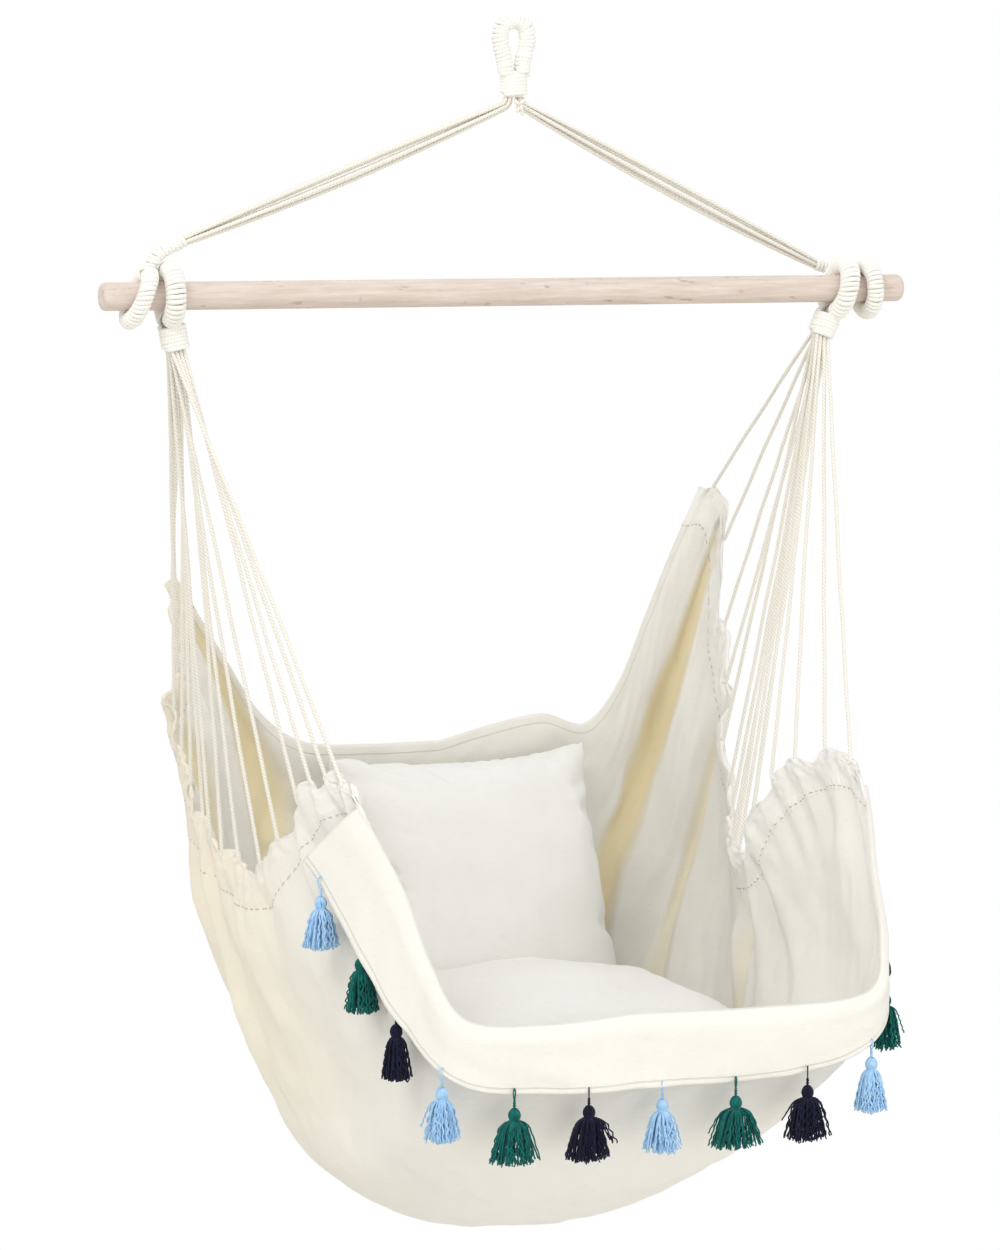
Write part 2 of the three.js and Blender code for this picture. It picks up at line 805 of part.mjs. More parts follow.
// The casing at a place along one side: its top line, its foot and the cloth's normal there.
function casingFrame(v, side) {
  const place = Math.min(v, 1 - 1e-9) * clothRows;
  const k = Math.floor(place);
  const foot = (row) => {
    const line = clothRow(rowShares[row]);
    return (side < 0 ? line[0] : line[line.length - 1]).point;
  };
  const base = foot(k).lerp(foot(k + 1), place - k);
  const top = clothPoint(v, side);
  const rise = top.clone().sub(base).normalize();
  const run = clothPoint(Math.min(v + 1e-3, 1), side).sub(clothPoint(Math.max(v - 1e-3, 0), side));
  const out = rise.clone().cross(run).normalize().multiplyScalar(-side);
  return { base, top, rise, out };
}

function casing(side) {
  const rings = [];
  for (let k = 0; k <= casingSteps; k++) {
    const v = k / casingSteps;
    const { base, top, rise, out } = casingFrame(v, side);
    const wave = Math.cos(turn * loopsPerSide * v);
    const height = top.distanceTo(base) - scallopHeight * half * (1 + wave);
    const foot = base.clone().addScaledVector(rise, casingSeat);
    const ring = [];
    for (let i = 0; i < casingSides; i++) {
      const angle = turn * i / casingSides;
      const up = (1 - Math.cos(angle)) * half * (height - casingSeat);
      const bulge = Math.sin(angle) * casingThickness * half;
      ring.push(foot.clone().addScaledVector(rise, up).addScaledVector(out, bulge));
    }
    rings.push(ring);
  }
  return loft(rings);
}

// Seat cords

// Each cord comes down from the collar, runs through the casing and goes back up.
function legStart(hand, order) {
  const column = Math.floor(order / cordsPerRow);
  const row = order % cordsPerRow;
  const middle = (cordsPerRow - 1) * half;
  const { axis, stubEnd } = collarLine(hand);
  const outward = Y.clone().cross(axis).normalize();
  return stubEnd.clone().addScaledVector(axis, gap)
    .addScaledVector(Y, (middle - column) * cordPitch)
    .addScaledVector(outward, (row - middle) * cordPitch * (outward.x > 0 ? 1 : -1));
}

function seatCordRoute(hand, k) {
  const { side } = hand;
  const legs = loopsPerSide * 2;
  const mirror = vec(side, 1, 1);
  const ends = [2 * k, 2 * k + 1].map((order) => {
    const v = (order + half) / legs;
    const top = legStart(hand, order).multiply(mirror);
    const axis = collarLine(hand).axis.multiply(mirror);
    const exit = top.clone().addScaledVector(axis, collarLength * half + gap);
    const frame = casingFrame(v, side);
    const entry = frame.top.clone().addScaledVector(frame.rise, -scallopHeight * half);
    const way = entry.clone().sub(exit).normalize();
    return { v, top, exit, entry, way };
  });
  const [a, b] = ends;
  const inside = (share) => {
    const frame = casingFrame(a.v + (b.v - a.v) * share, side);
    return frame.top.clone().addScaledVector(frame.rise, -runDepth);
  };
  const leg = (end) => [
    end.top,
    end.exit,
    end.exit.clone().addScaledVector(end.way, seatCord),
    end.entry,
  ];
  return [
    ...leg(a),
    ...runShares.map(inside),
    ...leg(b).reverse(),
  ];
}

// Cushions

// A stuffed square: crowned faces, and sides that draw in between the corners.
function cushionForm({ width, length, thickness, x, y, drop, tilt, yaw }) {
  const n = cushionCells;
  const points = [];
  const index = [];
  const edge = (i, j) => i === 0 || j === 0 || i === n || j === n;
  const ids = [[], []];
  for (const face of [0, 1]) {
    for (let j = 0; j <= n; j++) {
      for (let i = 0; i <= n; i++) {
        const a = Math.sin(turn / 4 * (2 * i / n - 1));
        const b = Math.sin(turn / 4 * (2 * j / n - 1));
        if (face === 1 && edge(i, j)) {
          ids[1].push(ids[0][j * (n + 1) + i]);
          continue;
        }
        const crown = ((1 - a * a) * (1 - b * b)) ** cushionCrownPower;
        const px = a * width * half * (1 - cushionPullShare * (1 - b * b) * a * a);
        const py = b * length * half * (1 - cushionPullShare * (1 - a * a) * b * b);
        ids[face].push(points.length);
        points.push(vec(px, py, (face ? -1 : 1) * crown * thickness * half));
      }
    }
  }
  for (const face of [0, 1]) {
    for (let j = 0; j < n; j++) {
      for (let i = 0; i < n; i++) {
        const k = j * (n + 1) + i;
        const [p, q, r, s] = [ids[face][k], ids[face][k + 1], ids[face][k + n + 2], ids[face][k + n + 1]];
        if (face) index.push(p, r, q, p, s, r);
        else index.push(p, q, r, p, r, s);
      }
    }
  }
  const geometry = new THREE.BufferGeometry().setFromPoints(points);
  geometry.setIndex(index);
  geometry.rotateX(radians(tilt));
  geometry.rotateZ(radians(yaw));
  geometry.translate(x, y, barZ - drop);
  return closed(geometry);
}

// What lies outside the cloth's innermost folds, so that a cushion can be fitted to them.
function clothBacking() {
  const rows = rowShares.map((v) => shiftedRow(v, (row, u) => -foldReach(row, u)));
  return sheet(rows, -clothThickness * half - gap, casingDepth * 2);
}

function fittedSeatCushion() {
  return cut(cushionForm(seatCushion), clothBacking());
}

function fittedBackCushion() {
  const { width, length, thickness } = seatCushion;
  const spare = { width: width + 2 * gap, length: length + 2 * gap, thickness: thickness + 3 * gap };
  return cut(cushionForm(backCushion), clothBacking(), cushionForm({ ...seatCushion, ...spare }));
}

// Tassels

// Radius as a share of the head's or skirt's width, and depth of the head's height or the length.
const headShares = [[0, 0], [0.32, 0.08], [0.5, 0.45], [0.36, 0.85]];
const skirtShares = [[0.36, 0.62], [0.5, 1], [0.3, 0.97], [0, 0.94]];

function tasselForm() {
  const top = -(tasselLoop - tasselThread);
  const profile = [
    ...headShares.map(([r, drop]) => new THREE.Vector2(tasselHead * r, top - tasselHead * drop)),
    ...skirtShares.map(([r, drop]) => new THREE.Vector2(tasselSkirt * r, top - tasselLength * drop)),
  ];
  const body = new THREE.LatheGeometry(profile, tasselSides);
  body.rotateX(turn / 4);
  const loop = new THREE.TorusGeometry((tasselLoop - tasselThread) * half, tasselThread * half, 4, 10);
  loop.rotateY(turn / 4);
  loop.translate(0, 0, -(tasselLoop - tasselThread) * half);
  return joined(body, loop);
}

function tasselColour(k) {
  return [colours.lightBlue, colours.green, colours.navy][k % 3];
}

// Assembly

const root = new THREE.Group();
const harness = new THREE.Group();
const seat = new THREE.Group();
root.add(harness);
harness.add(seat);

root.add(piece('hanging_loop', hangingLoop(), colours.cord, 0.9));
root.add(piece('loop_whipping', wound('loop_whipping', {
  curve: loopCurve(), normal: Y, turns: loopTurns, outer: loopRope * half,
}), colours.twine, 0.9));
root.add(piece('throat_whipping', wound('throat_whipping', {
  curve: throatCurve(),
  normal: Y,
  turns: throatTurns,
  outer: throatWidth * half,
  depthShare: throatDepth / throatWidth,
}), colours.twine, 0.9));

harness.add(piece('spreader_bar', spreaderBar(), colours.wood, 0.6));
for (const [name, hand] of Object.entries(hands)) {
  const handed = (geometry) => (hand.side < 0 ? mirrored(geometry) : geometry);
  for (let k = 0; k < bundleCords; k++) {
    const route = topCordRoute(hand, k);
    harness.add(piece(`top_cord_${name}_${k + 1}`, tube(route, topCord, cordSides), colours.cord, 0.9));
  }
  const add = (group, part, form, colour) => {
    const full = `${part}_${name}`;
    group.add(piece(full, handed(form(hand, full)), colour, 0.9));
  };
  add(harness, 'upper_eye', upperEye, colours.cord);
  add(harness, 'upper_whipping', upperWhipping, colours.twine);
  add(harness, 'neck_whipping', neckWhipping, colours.twine);
  add(seat, 'lower_eye', lowerEye, colours.cord);
  add(seat, 'lower_whipping', lowerWhipping, colours.twine);
  add(seat, 'collar_whipping', collarWhipping, colours.twine);
  const room = [];
  for (let k = 0; k < loopsPerSide; k++) {
    const route = seatCordRoute(hand, k);
    seat.add(piece(`seat_cord_${name}_${k + 1}`, tube(route, seatCord, cordSides), colours.cord, 0.9));
    room.push(tube(route, (seatCord + 2 * gap) * Math.SQRT2, 4));
  }
  seat.add(piece(`side_casing_${name}`, cut(casing(hand.side), ...room), colours.cloth, 0.85));
}
seat.add(piece('seat_cloth', seatCloth(), colours.cloth, 0.85));
seat.add(piece('seat_cushion', fittedSeatCushion(), colours.cushion, 0.85));
seat.add(piece('back_cushion', fittedBackCushion(), colours.cushion, 0.85));

const tassel = tasselForm();
eyelets().forEach(({ point, out }, k) => {
  const mesh = piece(`tassel_${k + 1}`, tassel.clone(), tasselColour(k), 0.8);
  mesh.position.copy(point);
  mesh.rotation.z = Math.atan2(-out.x, out.y);
  seat.add(mesh);
});

for (const [name, least] of windingGaps) console.log(`${name}: least gap to itself ${least.toFixed(2)} mm`);

export default root;
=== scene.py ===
"""Looks of the hammock chair: rope, twine, wood, canvas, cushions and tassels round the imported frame.
Metres, +Z up, the seat's open front towards -Y, origin at the inside top of the hanging loop."""

import json
import math

import bpy
import numpy as np
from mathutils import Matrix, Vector
from mathutils.bvhtree import BVHTree


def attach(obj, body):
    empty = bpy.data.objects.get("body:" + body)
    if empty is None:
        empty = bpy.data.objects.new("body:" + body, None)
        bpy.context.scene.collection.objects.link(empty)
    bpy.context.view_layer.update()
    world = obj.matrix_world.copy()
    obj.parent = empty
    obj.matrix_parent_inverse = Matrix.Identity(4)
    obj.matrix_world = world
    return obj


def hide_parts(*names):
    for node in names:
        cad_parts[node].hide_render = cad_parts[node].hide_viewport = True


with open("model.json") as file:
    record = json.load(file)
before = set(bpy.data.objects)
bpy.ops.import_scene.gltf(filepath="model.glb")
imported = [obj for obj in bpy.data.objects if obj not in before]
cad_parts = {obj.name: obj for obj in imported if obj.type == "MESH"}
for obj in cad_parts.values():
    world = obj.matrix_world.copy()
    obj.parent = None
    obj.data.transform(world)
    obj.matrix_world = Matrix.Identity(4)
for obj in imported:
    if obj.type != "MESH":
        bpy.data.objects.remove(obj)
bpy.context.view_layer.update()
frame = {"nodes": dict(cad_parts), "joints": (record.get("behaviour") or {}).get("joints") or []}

# The camera: the photograph's viewpoint, looking slightly down

camera_data = bpy.data.cameras.new("camera")
camera_data.lens = 125.4
camera_data.sensor_width = 36
camera_data.clip_end = 100
camera = bpy.data.objects.new("camera", camera_data)
camera.location = (-1.7516, -4.7337, -0.1450)
camera.rotation_euler = (math.radians(90 - 6.1535), 0, -math.radians(20.1277))
bpy.context.scene.collection.objects.link(camera)
bpy.context.scene.camera = camera

# Sizes, as in the part's source

TURN = 2 * math.pi
BAR_LENGTH, BAR_RADIUS, BAR_ROUND, BAR_Z = 0.985, 0.016, 0.006, -0.302
GAP, NECK_GAP = 0.0004, 0.0011
LOOP_ROPE, LOOP_WIDTH, LOOP_HEIGHT = 0.019, 0.053, 0.052
THROAT_WIDTH, THROAT_DEPTH, THROAT_TOP, THROAT_BOTTOM = 0.032, 0.020, 0.054, 0.078
TOP_CORD, BUNDLE_CORDS, BUNDLE_RADIUS, BUNDLE_SPREAD = 0.0042, 5, 0.0039, 2.3
BUNDLE_OFFSET, BUNDLE_BEND, BUNDLE_SAG = 0.0074, 0.009, 0.002
UPPER_EYE_X, UPPER_EYE_ROPE, NECK_ROPE = BAR_LENGTH / 2 - 0.0445, 0.020, 0.015
LOWER_EYE_X, LOWER_EYE_ROPE, EYE_SLACK = BAR_LENGTH / 2 - 0.080, 0.023, 0.0009
COLLAR_DIAMETER, COLLAR_LENGTH = 0.032, 0.022
SEAT_CORD, CORD_PITCH, CORDS_PER_ROW, LOOPS_PER_SIDE = 0.0042, 0.00475, 4, 8
SEAT_HALF_WIDTH, SEAT_REACH, SEAT_DROP = 0.350, 0.385, 1.080
FLAP_DEPTH, FLAP_STAND_OFF = 0.082, 0.009
CASING_DEPTH, CASING_THICKNESS = 0.036, 0.011
SCALLOP_HEIGHT, RUN_DEPTH, TASSELS = 0.007, 0.015, 13
UPPER_RING = BAR_RADIUS + EYE_SLACK + UPPER_EYE_ROPE / 2
LOWER_RING = BAR_RADIUS + EYE_SLACK + LOWER_EYE_ROPE / 2
X, Y, Z = np.eye(3)

# What only the looks have: the twine's thickness, how many points wind() gives a turn, how much thicker
# than their solids the cords are drawn and how far apart their points are, the cloth's own coordinate
# at the rim, its grid and thickness, and the rows of points across it, down the flap and round a casing
LOOP_TWINE, UPPER_TWINE, LOWER_TWINE, TURN_POINTS = 0.0046, 0.0044, 0.0047, 16
FULLNESS, CORD_STEP = 1.1, 0.003
RIM, CLOTH_GRID_ROWS, CLOTH_GRID_COLUMNS, CLOTH_THICKNESS = 1.2, 280, 250, 0.0018
ACROSS_SAMPLES, FLAP_ROWS, CASING_ROWS, CASING_COLUMNS, CASING_GIRTH = 193, 26, 620, 36, 0.12

# Each side's eyes: leans in degrees; the neck's places inwards of the upper eye, behind the bar and
# above it; the collar's inwards of the lower eye and below the bar
HANDS = {
    -1: dict(name="left", upper_lean=22, neck_from=90, near=(0.025, 0, 0.0483), far=(0.052, 0, 0.0616),
             bend=0.66, lower_lean=0, collar_lean=10, collar=(0.003, 0.037)),
    1: dict(name="right", upper_lean=3, neck_from=27, near=(0.022, 0.045, 0.022), far=(0.046, 0.043, 0.028),
            bend=0.5, lower_lean=-14, collar_lean=24, collar=(0.015, 0.034)),
}

# Vector and noise helpers


def unit(a):
    return a / np.maximum(np.linalg.norm(a, axis=-1, keepdims=True), 1e-12)


def smooth(x, low, high):
    t = np.clip((x - low) / (high - low), 0, 1)
    return t * t * (3 - 2 * t)


def ripple(seed, x, y, low, high, count=14):
    """Smooth noise of x and y, about -1 to 1: plane waves of random direction and length."""
    rng = np.random.default_rng(seed)
    total = np.zeros(np.broadcast(x, y).shape)
    for _ in range(count):
        angle, size, phase = rng.uniform(0, TURN), rng.uniform(low, high), rng.uniform(0, TURN)
        wave = (np.cos(angle) * x + np.sin(angle) * y) * TURN / size
        total = total + np.sin(wave + phase)
    return total / math.sqrt(count)


def through(rows, t):
    """A smooth value through rows of numbers, at t from 0 to 1."""
    rows = np.asarray(rows, float)
    last = len(rows) - 1
    padded = np.vstack([2 * rows[0] - rows[1], rows, 2 * rows[-1] - rows[-2]])
    place = np.clip(t, 0, 1) * last
    k = np.minimum(place.astype(int), last - 1)
    f = (place - k)[..., None]
    a, b, c, d = (padded[k + i] for i in range(4))
    return (2 * b + (c - a) * f + (2 * a - 5 * b + 4 * c - d) * f**2 + (3 * b - a - 3 * c + d) * f**3) / 2


def spline(points, count):
    return through(points, np.linspace(0, 1, count))


def length_of(points):
    return np.linalg.norm(np.diff(points, axis=0), axis=1).sum()


def run_along(points):
    """Each point's distance along a line from its start."""
    return np.concatenate([[0], np.cumsum(np.linalg.norm(np.diff(points, axis=0), axis=1))])


def at_runs(points, run, at):
    return np.stack([np.interp(at, run, points[:, k]) for k in range(3)], axis=1)


def spaced(points, step):
    """The same line, with points an even distance apart."""
    points = np.asarray(points, float)
    run = run_along(points)
    return at_runs(points, run, np.linspace(0, run[-1], max(int(run[-1] / step), 2) + 1))


def turned_flat(points, angle):
    """Points turned about the vertical."""
    c, s = math.cos(angle), math.sin(angle)
    return points @ np.array([[c, -s, 0], [s, c, 0], [0, 0, 1]]).T


# Mesh helpers


def add_object(name, data):
    obj = bpy.data.objects.new(name, data)
    bpy.context.scene.collection.objects.link(obj)
    return obj


def make_mesh(name, points, faces, corner_uv=None, material=None):
    mesh = bpy.data.meshes.new(name)
    mesh.from_pydata(points.tolist(), [], faces)
    if corner_uv is not None:
        layer = mesh.uv_layers.new(name="UVMap")
        layer.data.foreach_set("uv", corner_uv.astype(np.float32).ravel())
    mesh.materials.append(material)
    shade_smooth(mesh)
    mesh.update()
    return add_object(name, mesh)


def shade_smooth(mesh):
    mesh.polygons.foreach_set("use_smooth", np.ones(len(mesh.polygons), bool))


def patch(rows, columns, start=0, wrap=False, flip=False):
    """Quads over a grid of points, and the grid places of their corners for the UVs."""
    j, i = np.meshgrid(np.arange(rows - 1), np.arange(columns - (0 if wrap else 1)), indexing="ij")
    corners = [(j, i), (j, i + 1), (j + 1, i + 1), (j + 1, i)]
    if flip:
        corners.reverse()
    faces = [start + a * columns + b % columns for a, b in corners]
    places = [np.stack([a, b], axis=-1) for a, b in corners]
    return np.stack(faces, axis=-1).reshape(-1, 4), np.stack(places, axis=2).reshape(-1, 4, 2)


def frames(points, normal=None):
    """Tangents and two cross directions along a line, turned as little as possible."""
    tangent = unit(np.gradient(points, axis=0))
    first = normal if normal is not None else np.eye(3)[np.argmin(np.abs(tangent[0]))]
    side = np.zeros_like(points)
    current = first - tangent[0] * (first @ tangent[0])
    for k, t in enumerate(tangent):
        current = current - t * (current @ t)
        current = current / np.linalg.norm(current)
        side[k] = current
    return tangent, side, np.cross(tangent, side)


class Batch:
    """Tubes gathered into one mesh."""

    def __init__(self):
        self.points, self.faces, self.uv, self.count = [], [], [], 0

    def add(self, rings, lengths, girth=1.0):
        rows, columns = rings.shape[:2]
        faces, places = patch(rows, columns, self.count, wrap=True)
        uv = np.stack([places[..., 1] / columns * girth, lengths[places[..., 0]]], axis=-1)
        self.points.append(rings.reshape(-1, 3))
        self.faces.append(faces)
        self.uv.append(uv)
        for ring, flip in ((0, True), (rows - 1, False)):
            centre = self.count + rows * columns + (1 if ring else 0)
            loop = self.count + ring * columns + np.arange(columns)
            turned = np.roll(loop, -1)
            middle = np.full(columns, centre)
            pair = (turned, loop) if flip else (loop, turned)
            self.faces.append(np.stack([middle, pair[0], pair[1], pair[1]], axis=-1))
            self.uv.append(np.full((columns, 4, 2), lengths[ring]))
            self.points.append(rings[ring].mean(axis=0, keepdims=True))
        self.count += rows * columns + 2

    def rope(self, points, radius, sides=8, lobes=0, pitch=0.014, depth=0.14, phase=0.0):
        """A cord along points. With lobes, its strands stand out and twist along it."""
        points = np.asarray(points, float)
        _, side, over = frames(points)
        run = run_along(points)
        angle = np.arange(sides) * TURN / sides
        size = np.broadcast_to(np.asarray(radius, float).reshape(-1, 1), (len(points), sides))
        if lobes:
            twist = angle[None, :] - run[:, None] * TURN / pitch - phase
            size = size * (1 - depth + depth * np.abs(np.cos(lobes / 2 * twist)) ** 0.7)
        rings = points[:, None] + size[..., None] * (
            np.cos(angle)[None, :, None] * side[:, None] + np.sin(angle)[None, :, None] * over[:, None])
        self.add(rings, run)

    def build(self, name, material):
        faces = [tuple(dict.fromkeys(f)) for f in np.concatenate(self.faces).tolist()]
        keep = np.concatenate([[True] * 3 + [len(f) == 4] for f in faces])
        corner_uv = np.concatenate(self.uv).reshape(-1, 2)[keep]
        return make_mesh(name, np.concatenate(self.points), faces, corner_uv, material)


# Materials


def link(tree, value, socket):
    if isinstance(value, bpy.types.NodeSocket):
        tree.links.new(value, socket)
    else:
        socket.default_value = value


def add_node(tree, kind, inputs=None, **settings):
    node = tree.nodes.new(kind)
    for key, value in settings.items():
        setattr(node, key, value)
    for key, value in (inputs or {}).items():
        link(tree, value, node.inputs[key])
    return node


class Nodes:
    """A material's node tree, built in short calls."""

    def __init__(self, name, roughness=0.9, sheen=0.0, specular=0.3):
        self.material = bpy.data.materials.new(name)
        self.material.use_nodes = True
        self.tree = self.material.node_tree
        self.shader = self.tree.nodes["Principled BSDF"]
        settings = {"Roughness": roughness, "Specular IOR Level": specular, "Sheen Weight": sheen,
                    "Sheen Roughness": 0.5}
        for key, value in settings.items():
            self.shader.inputs[key].default_value = value

    def add(self, kind, inputs=None, **settings):
        return add_node(self.tree, kind, inputs, **settings)

    def math(self, operation, *values):
        return self.add("ShaderNodeMath", dict(enumerate(values)), operation=operation).outputs[0]

    def times(self, a, b):
        return self.math("MULTIPLY", a, b)

    def uv(self):
        return self.add("ShaderNodeSeparateXYZ", {0: self.add("ShaderNodeUVMap").outputs[0]}).outputs

    def place(self, scale=(1, 1, 1)):
        coordinates = self.add("ShaderNodeTexCoord").outputs["Object"]
        return self.add("ShaderNodeMapping", {"Vector": coordinates, "Scale": scale}).outputs[0]

    def noise(self, scale, detail=4, stretch=(1, 1, 1), roughness=0.55):
        inputs = {"Vector": self.place(stretch), "Scale": scale, "Detail": detail, "Roughness": roughness}
        return self.add("ShaderNodeTexNoise", inputs).outputs["Fac"]

    def mix(self, factor, a, b):
        inputs = {0: factor, 6: a, 7: b}
        return self.add("ShaderNodeMix", inputs, data_type="RGBA", blend_type="MIX").outputs[2]

    def tint(self, base, mask, strength, colour):
        return self.mix(self.times(mask, strength), base, colour)

    def span(self, value, low, high, to_low=0.0, to_high=1.0):
        inputs = {0: value, 1: low, 2: high, 3: to_low, 4: to_high}
        return self.add("ShaderNodeMapRange", inputs).outputs[0]

    def wave(self, value, period, phase=0.0):
        """A sine from 0 to 1 of a length."""
        turned = self.math("MULTIPLY_ADD", value, TURN / period, phase)
        return self.math("MULTIPLY_ADD", self.math("SINE", turned), 0.5, 0.5)

    def finish(self, colour, height, distance, strength):
        link(self.tree, colour, self.shader.inputs["Base Color"])
        bump = self.add("ShaderNodeBump", {"Height": height, "Strength": strength, "Distance": distance})
        link(self.tree, bump.outputs[0], self.shader.inputs["Normal"])
        return self.material


def linear(red, green, blue):
    """An sRGB colour in 0 to 255 as a linear one for a socket."""
    def one(c):
        c = c / 255
        return c / 12.92 if c <= 0.04045 else ((c + 0.055) / 1.055) ** 2.4
    return (one(red), one(green), one(blue), 1)


def paler(colour, share):
    return tuple(share * c for c in colour[:3]) + (1,)


def cord_material(name, light, dark, pitch, relief):
    """Twisted cotton: slanting strands over fine fuzz."""
    n = Nodes(name, roughness=0.95, sheen=0.3)
    around, length, _ = n.uv()
    slant = n.math("MULTIPLY_ADD", around, pitch * 3, length)
    strand = n.wave(slant, pitch)
    fuzz = n.noise(2200, 3)
    tone = n.math("MULTIPLY_ADD", strand, 0.6, n.times(fuzz, 0.4))
    patchy = n.mix(n.span(n.noise(28, 2), 0.35, 0.7), light, paler(light, 0.96))
    colour = n.mix(n.span(tone, 0.0, 0.6), dark, patchy)
    height = n.math("MULTIPLY_ADD", strand, 0.7, n.times(fuzz, 0.3))
    return n.finish(colour, height, 0.0004, relief)


def stitch_mask(n, place, lines, length):
    """Short stitches along lines of one coordinate, running with the other."""
    dash = n.span(n.wave(length, 0.0036), 0.12, 0.3)
    mask = 0.0
    for line in lines:
        near = n.math("ABSOLUTE", n.math("SUBTRACT", place, line))
        mask = n.math("MAXIMUM", mask, n.span(near, 0.0012, 0.0005))
    return n.times(mask, n.math("MULTIPLY_ADD", dash, 0.55, 0.45))


def woven_material(name, light, dark, thread=0.0011, stitches=(), painted_shade_gold=None, flat=False):
    """Plain weave by the cloth's own coordinates, with slubs, specks and soft mottling. Stitches run
    along the given lengths of it. A given warm yellow is painted shade: it is mixed in where the
    mesh's warm attribute says, for the warm light bounced in the deep folds and on the cloth's inside.
    With flat, the weave follows the object's place and not its UVs."""
    n = Nodes(name, roughness=0.92, sheen=0.25)
    if flat:
        across, depth, down = n.add("ShaderNodeSeparateXYZ", {0: n.place()}).outputs
        down = n.math("ADD", down, depth)
    else:
        across, down, _ = n.uv()
    warp = n.wave(across, thread)
    weft = n.wave(down, thread, math.pi / 2)
    checks = n.times(n.wave(across, 2 * thread), n.wave(down, 2 * thread))
    weave = n.math("ADD", n.times(n.math("MAXIMUM", warp, weft), 0.7), n.times(checks, 0.3))
    slub = n.span(n.noise(90, 5, (1, 1, 6)), 0.55, 0.75)
    fleck = n.span(n.noise(420, 2), 0.76, 0.82)
    base = n.mix(n.span(n.noise(9, 4), 0.3, 0.7), light, paler(light, 0.975))
    # Painted shade: the warm yellow, mixed in by the warm attribute, stands in for light bounced in the
    # folds
    if painted_shade_gold:
        warm = n.add("ShaderNodeAttribute", attribute_name="warm").outputs["Fac"]
        base = n.mix(warm, base, painted_shade_gold)
    base = n.tint(base, slub, 0.3, dark)
    base = n.tint(base, fleck, 0.45, linear(196, 178, 140))
    colour = n.mix(n.span(weave, 0.0, 0.6, 0.86, 1.0), dark, base)
    height = n.math("MULTIPLY_ADD", slub, 0.4, weave)
    for place, lines, strength in stitches:
        pair = (across, down) if place == "across" else (down, across)
        mask = stitch_mask(n, pair[0], lines, pair[1])
        colour = n.tint(colour, mask, strength, linear(170, 158, 128))
        height = n.math("MULTIPLY_ADD", mask, -2.5, height)
    return n.finish(colour, height, 0.0005, 0.7)


def wood_material():
    """Pale beech: grain along the bar, short flecks and a few darker streaks."""
    n = Nodes("wood", roughness=0.5, specular=0.4)
    grain = n.noise(14, 7, (1.2, 16, 16), 0.62)
    fine = n.noise(60, 6, (1, 30, 30), 0.6)
    fleck = n.span(n.noise(130, 2, (0.35, 1, 1)), 0.64, 0.72)
    streak = n.span(n.noise(5, 4, (0.5, 9, 9)), 0.6, 0.78)
    base = n.mix(n.span(grain, 0.35, 0.66), linear(208, 192, 180), linear(226, 213, 203))
    base = n.tint(base, n.span(fine, 0.5, 0.75), 0.5, linear(196, 173, 158))
    base = n.tint(base, fleck, 0.75, linear(178, 154, 137))
    base = n.tint(base, streak, 0.55, linear(190, 168, 153))
    height = n.math("MULTIPLY_ADD", fine, 0.5, n.times(fleck, -0.5))
    return n.finish(base, height, 0.0003, 0.5)


def yarn_material(name, light, dark):
    n = Nodes(name, roughness=0.9, sheen=0.12, specular=0.2)
    around, length, _ = n.uv()
    ply = n.wave(n.math("MULTIPLY_ADD", around, 0.003, length), 0.0022)
    shade = n.mix(n.span(n.noise(160, 3), 0.35, 0.7), light, dark)
    return n.finish(n.tint(shade, ply, 0.5, dark), ply, 0.0003, 0.6)


FOLDED_HEM = RIM + FLAP_DEPTH - 0.007
WEAVE = linear(247, 245, 239), linear(230, 224, 210)
cotton = cord_material("cord", linear(243, 240, 231), linear(214, 206, 190), 0.0045, 0.45)
twine = cord_material("twine", linear(249, 248, 243), linear(234, 230, 220), 0.0032, 0.25)
# The warm yellows given to the canvases are painted shade, for light bounced in the deep folds and inside
# the cloth
canvas = woven_material("canvas", *WEAVE, stitches=[("down", (0.014, FOLDED_HEM), 0.25)],
                        painted_shade_gold=linear(249, 236, 197))
casing_seams = 0.102 * CASING_GIRTH, 0.898 * CASING_GIRTH
casing_canvas = woven_material("casing_canvas", *WEAVE, stitches=[("across", casing_seams, 0.9)],
                               painted_shade_gold=linear(240, 222, 184))
cover = woven_material("cushion_cover", linear(242, 241, 236), linear(226, 222, 210), 0.0009, flat=True)
wood = wood_material()
yarns = {name: yarn_material(f"{name}_yarn", linear(*light), linear(*dark)) for name, light, dark in (
    ("light_blue", (190, 224, 248), (148, 194, 236)),
    ("green", (12, 122, 112), (2, 76, 74)),
    ("navy", (24, 28, 62), (9, 10, 30)))}


def dress(obj, body, slot, *nodes):
    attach(obj, body)
    if nodes:
        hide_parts(*nodes)
    return obj


for node_name in ("hanging_loop", "upper_eye_left", "upper_eye_right", "lower_eye_left", "lower_eye_right"):
    slots = frame["nodes"][node_name].data.materials
    slots.clear()
    slots.append(cotton)


def taut_cord(name, body, node, route, diameter, phase):
    """A twisted cord along a route that runs from one place on the chair to another."""
    batch = Batch()
    batch.rope(route, diameter / 2 * FULLNESS, sides=9, lobes=3, phase=phase)
    obj = dress(batch.build(name, cotton), body, "cord", node)


# Spreader bar


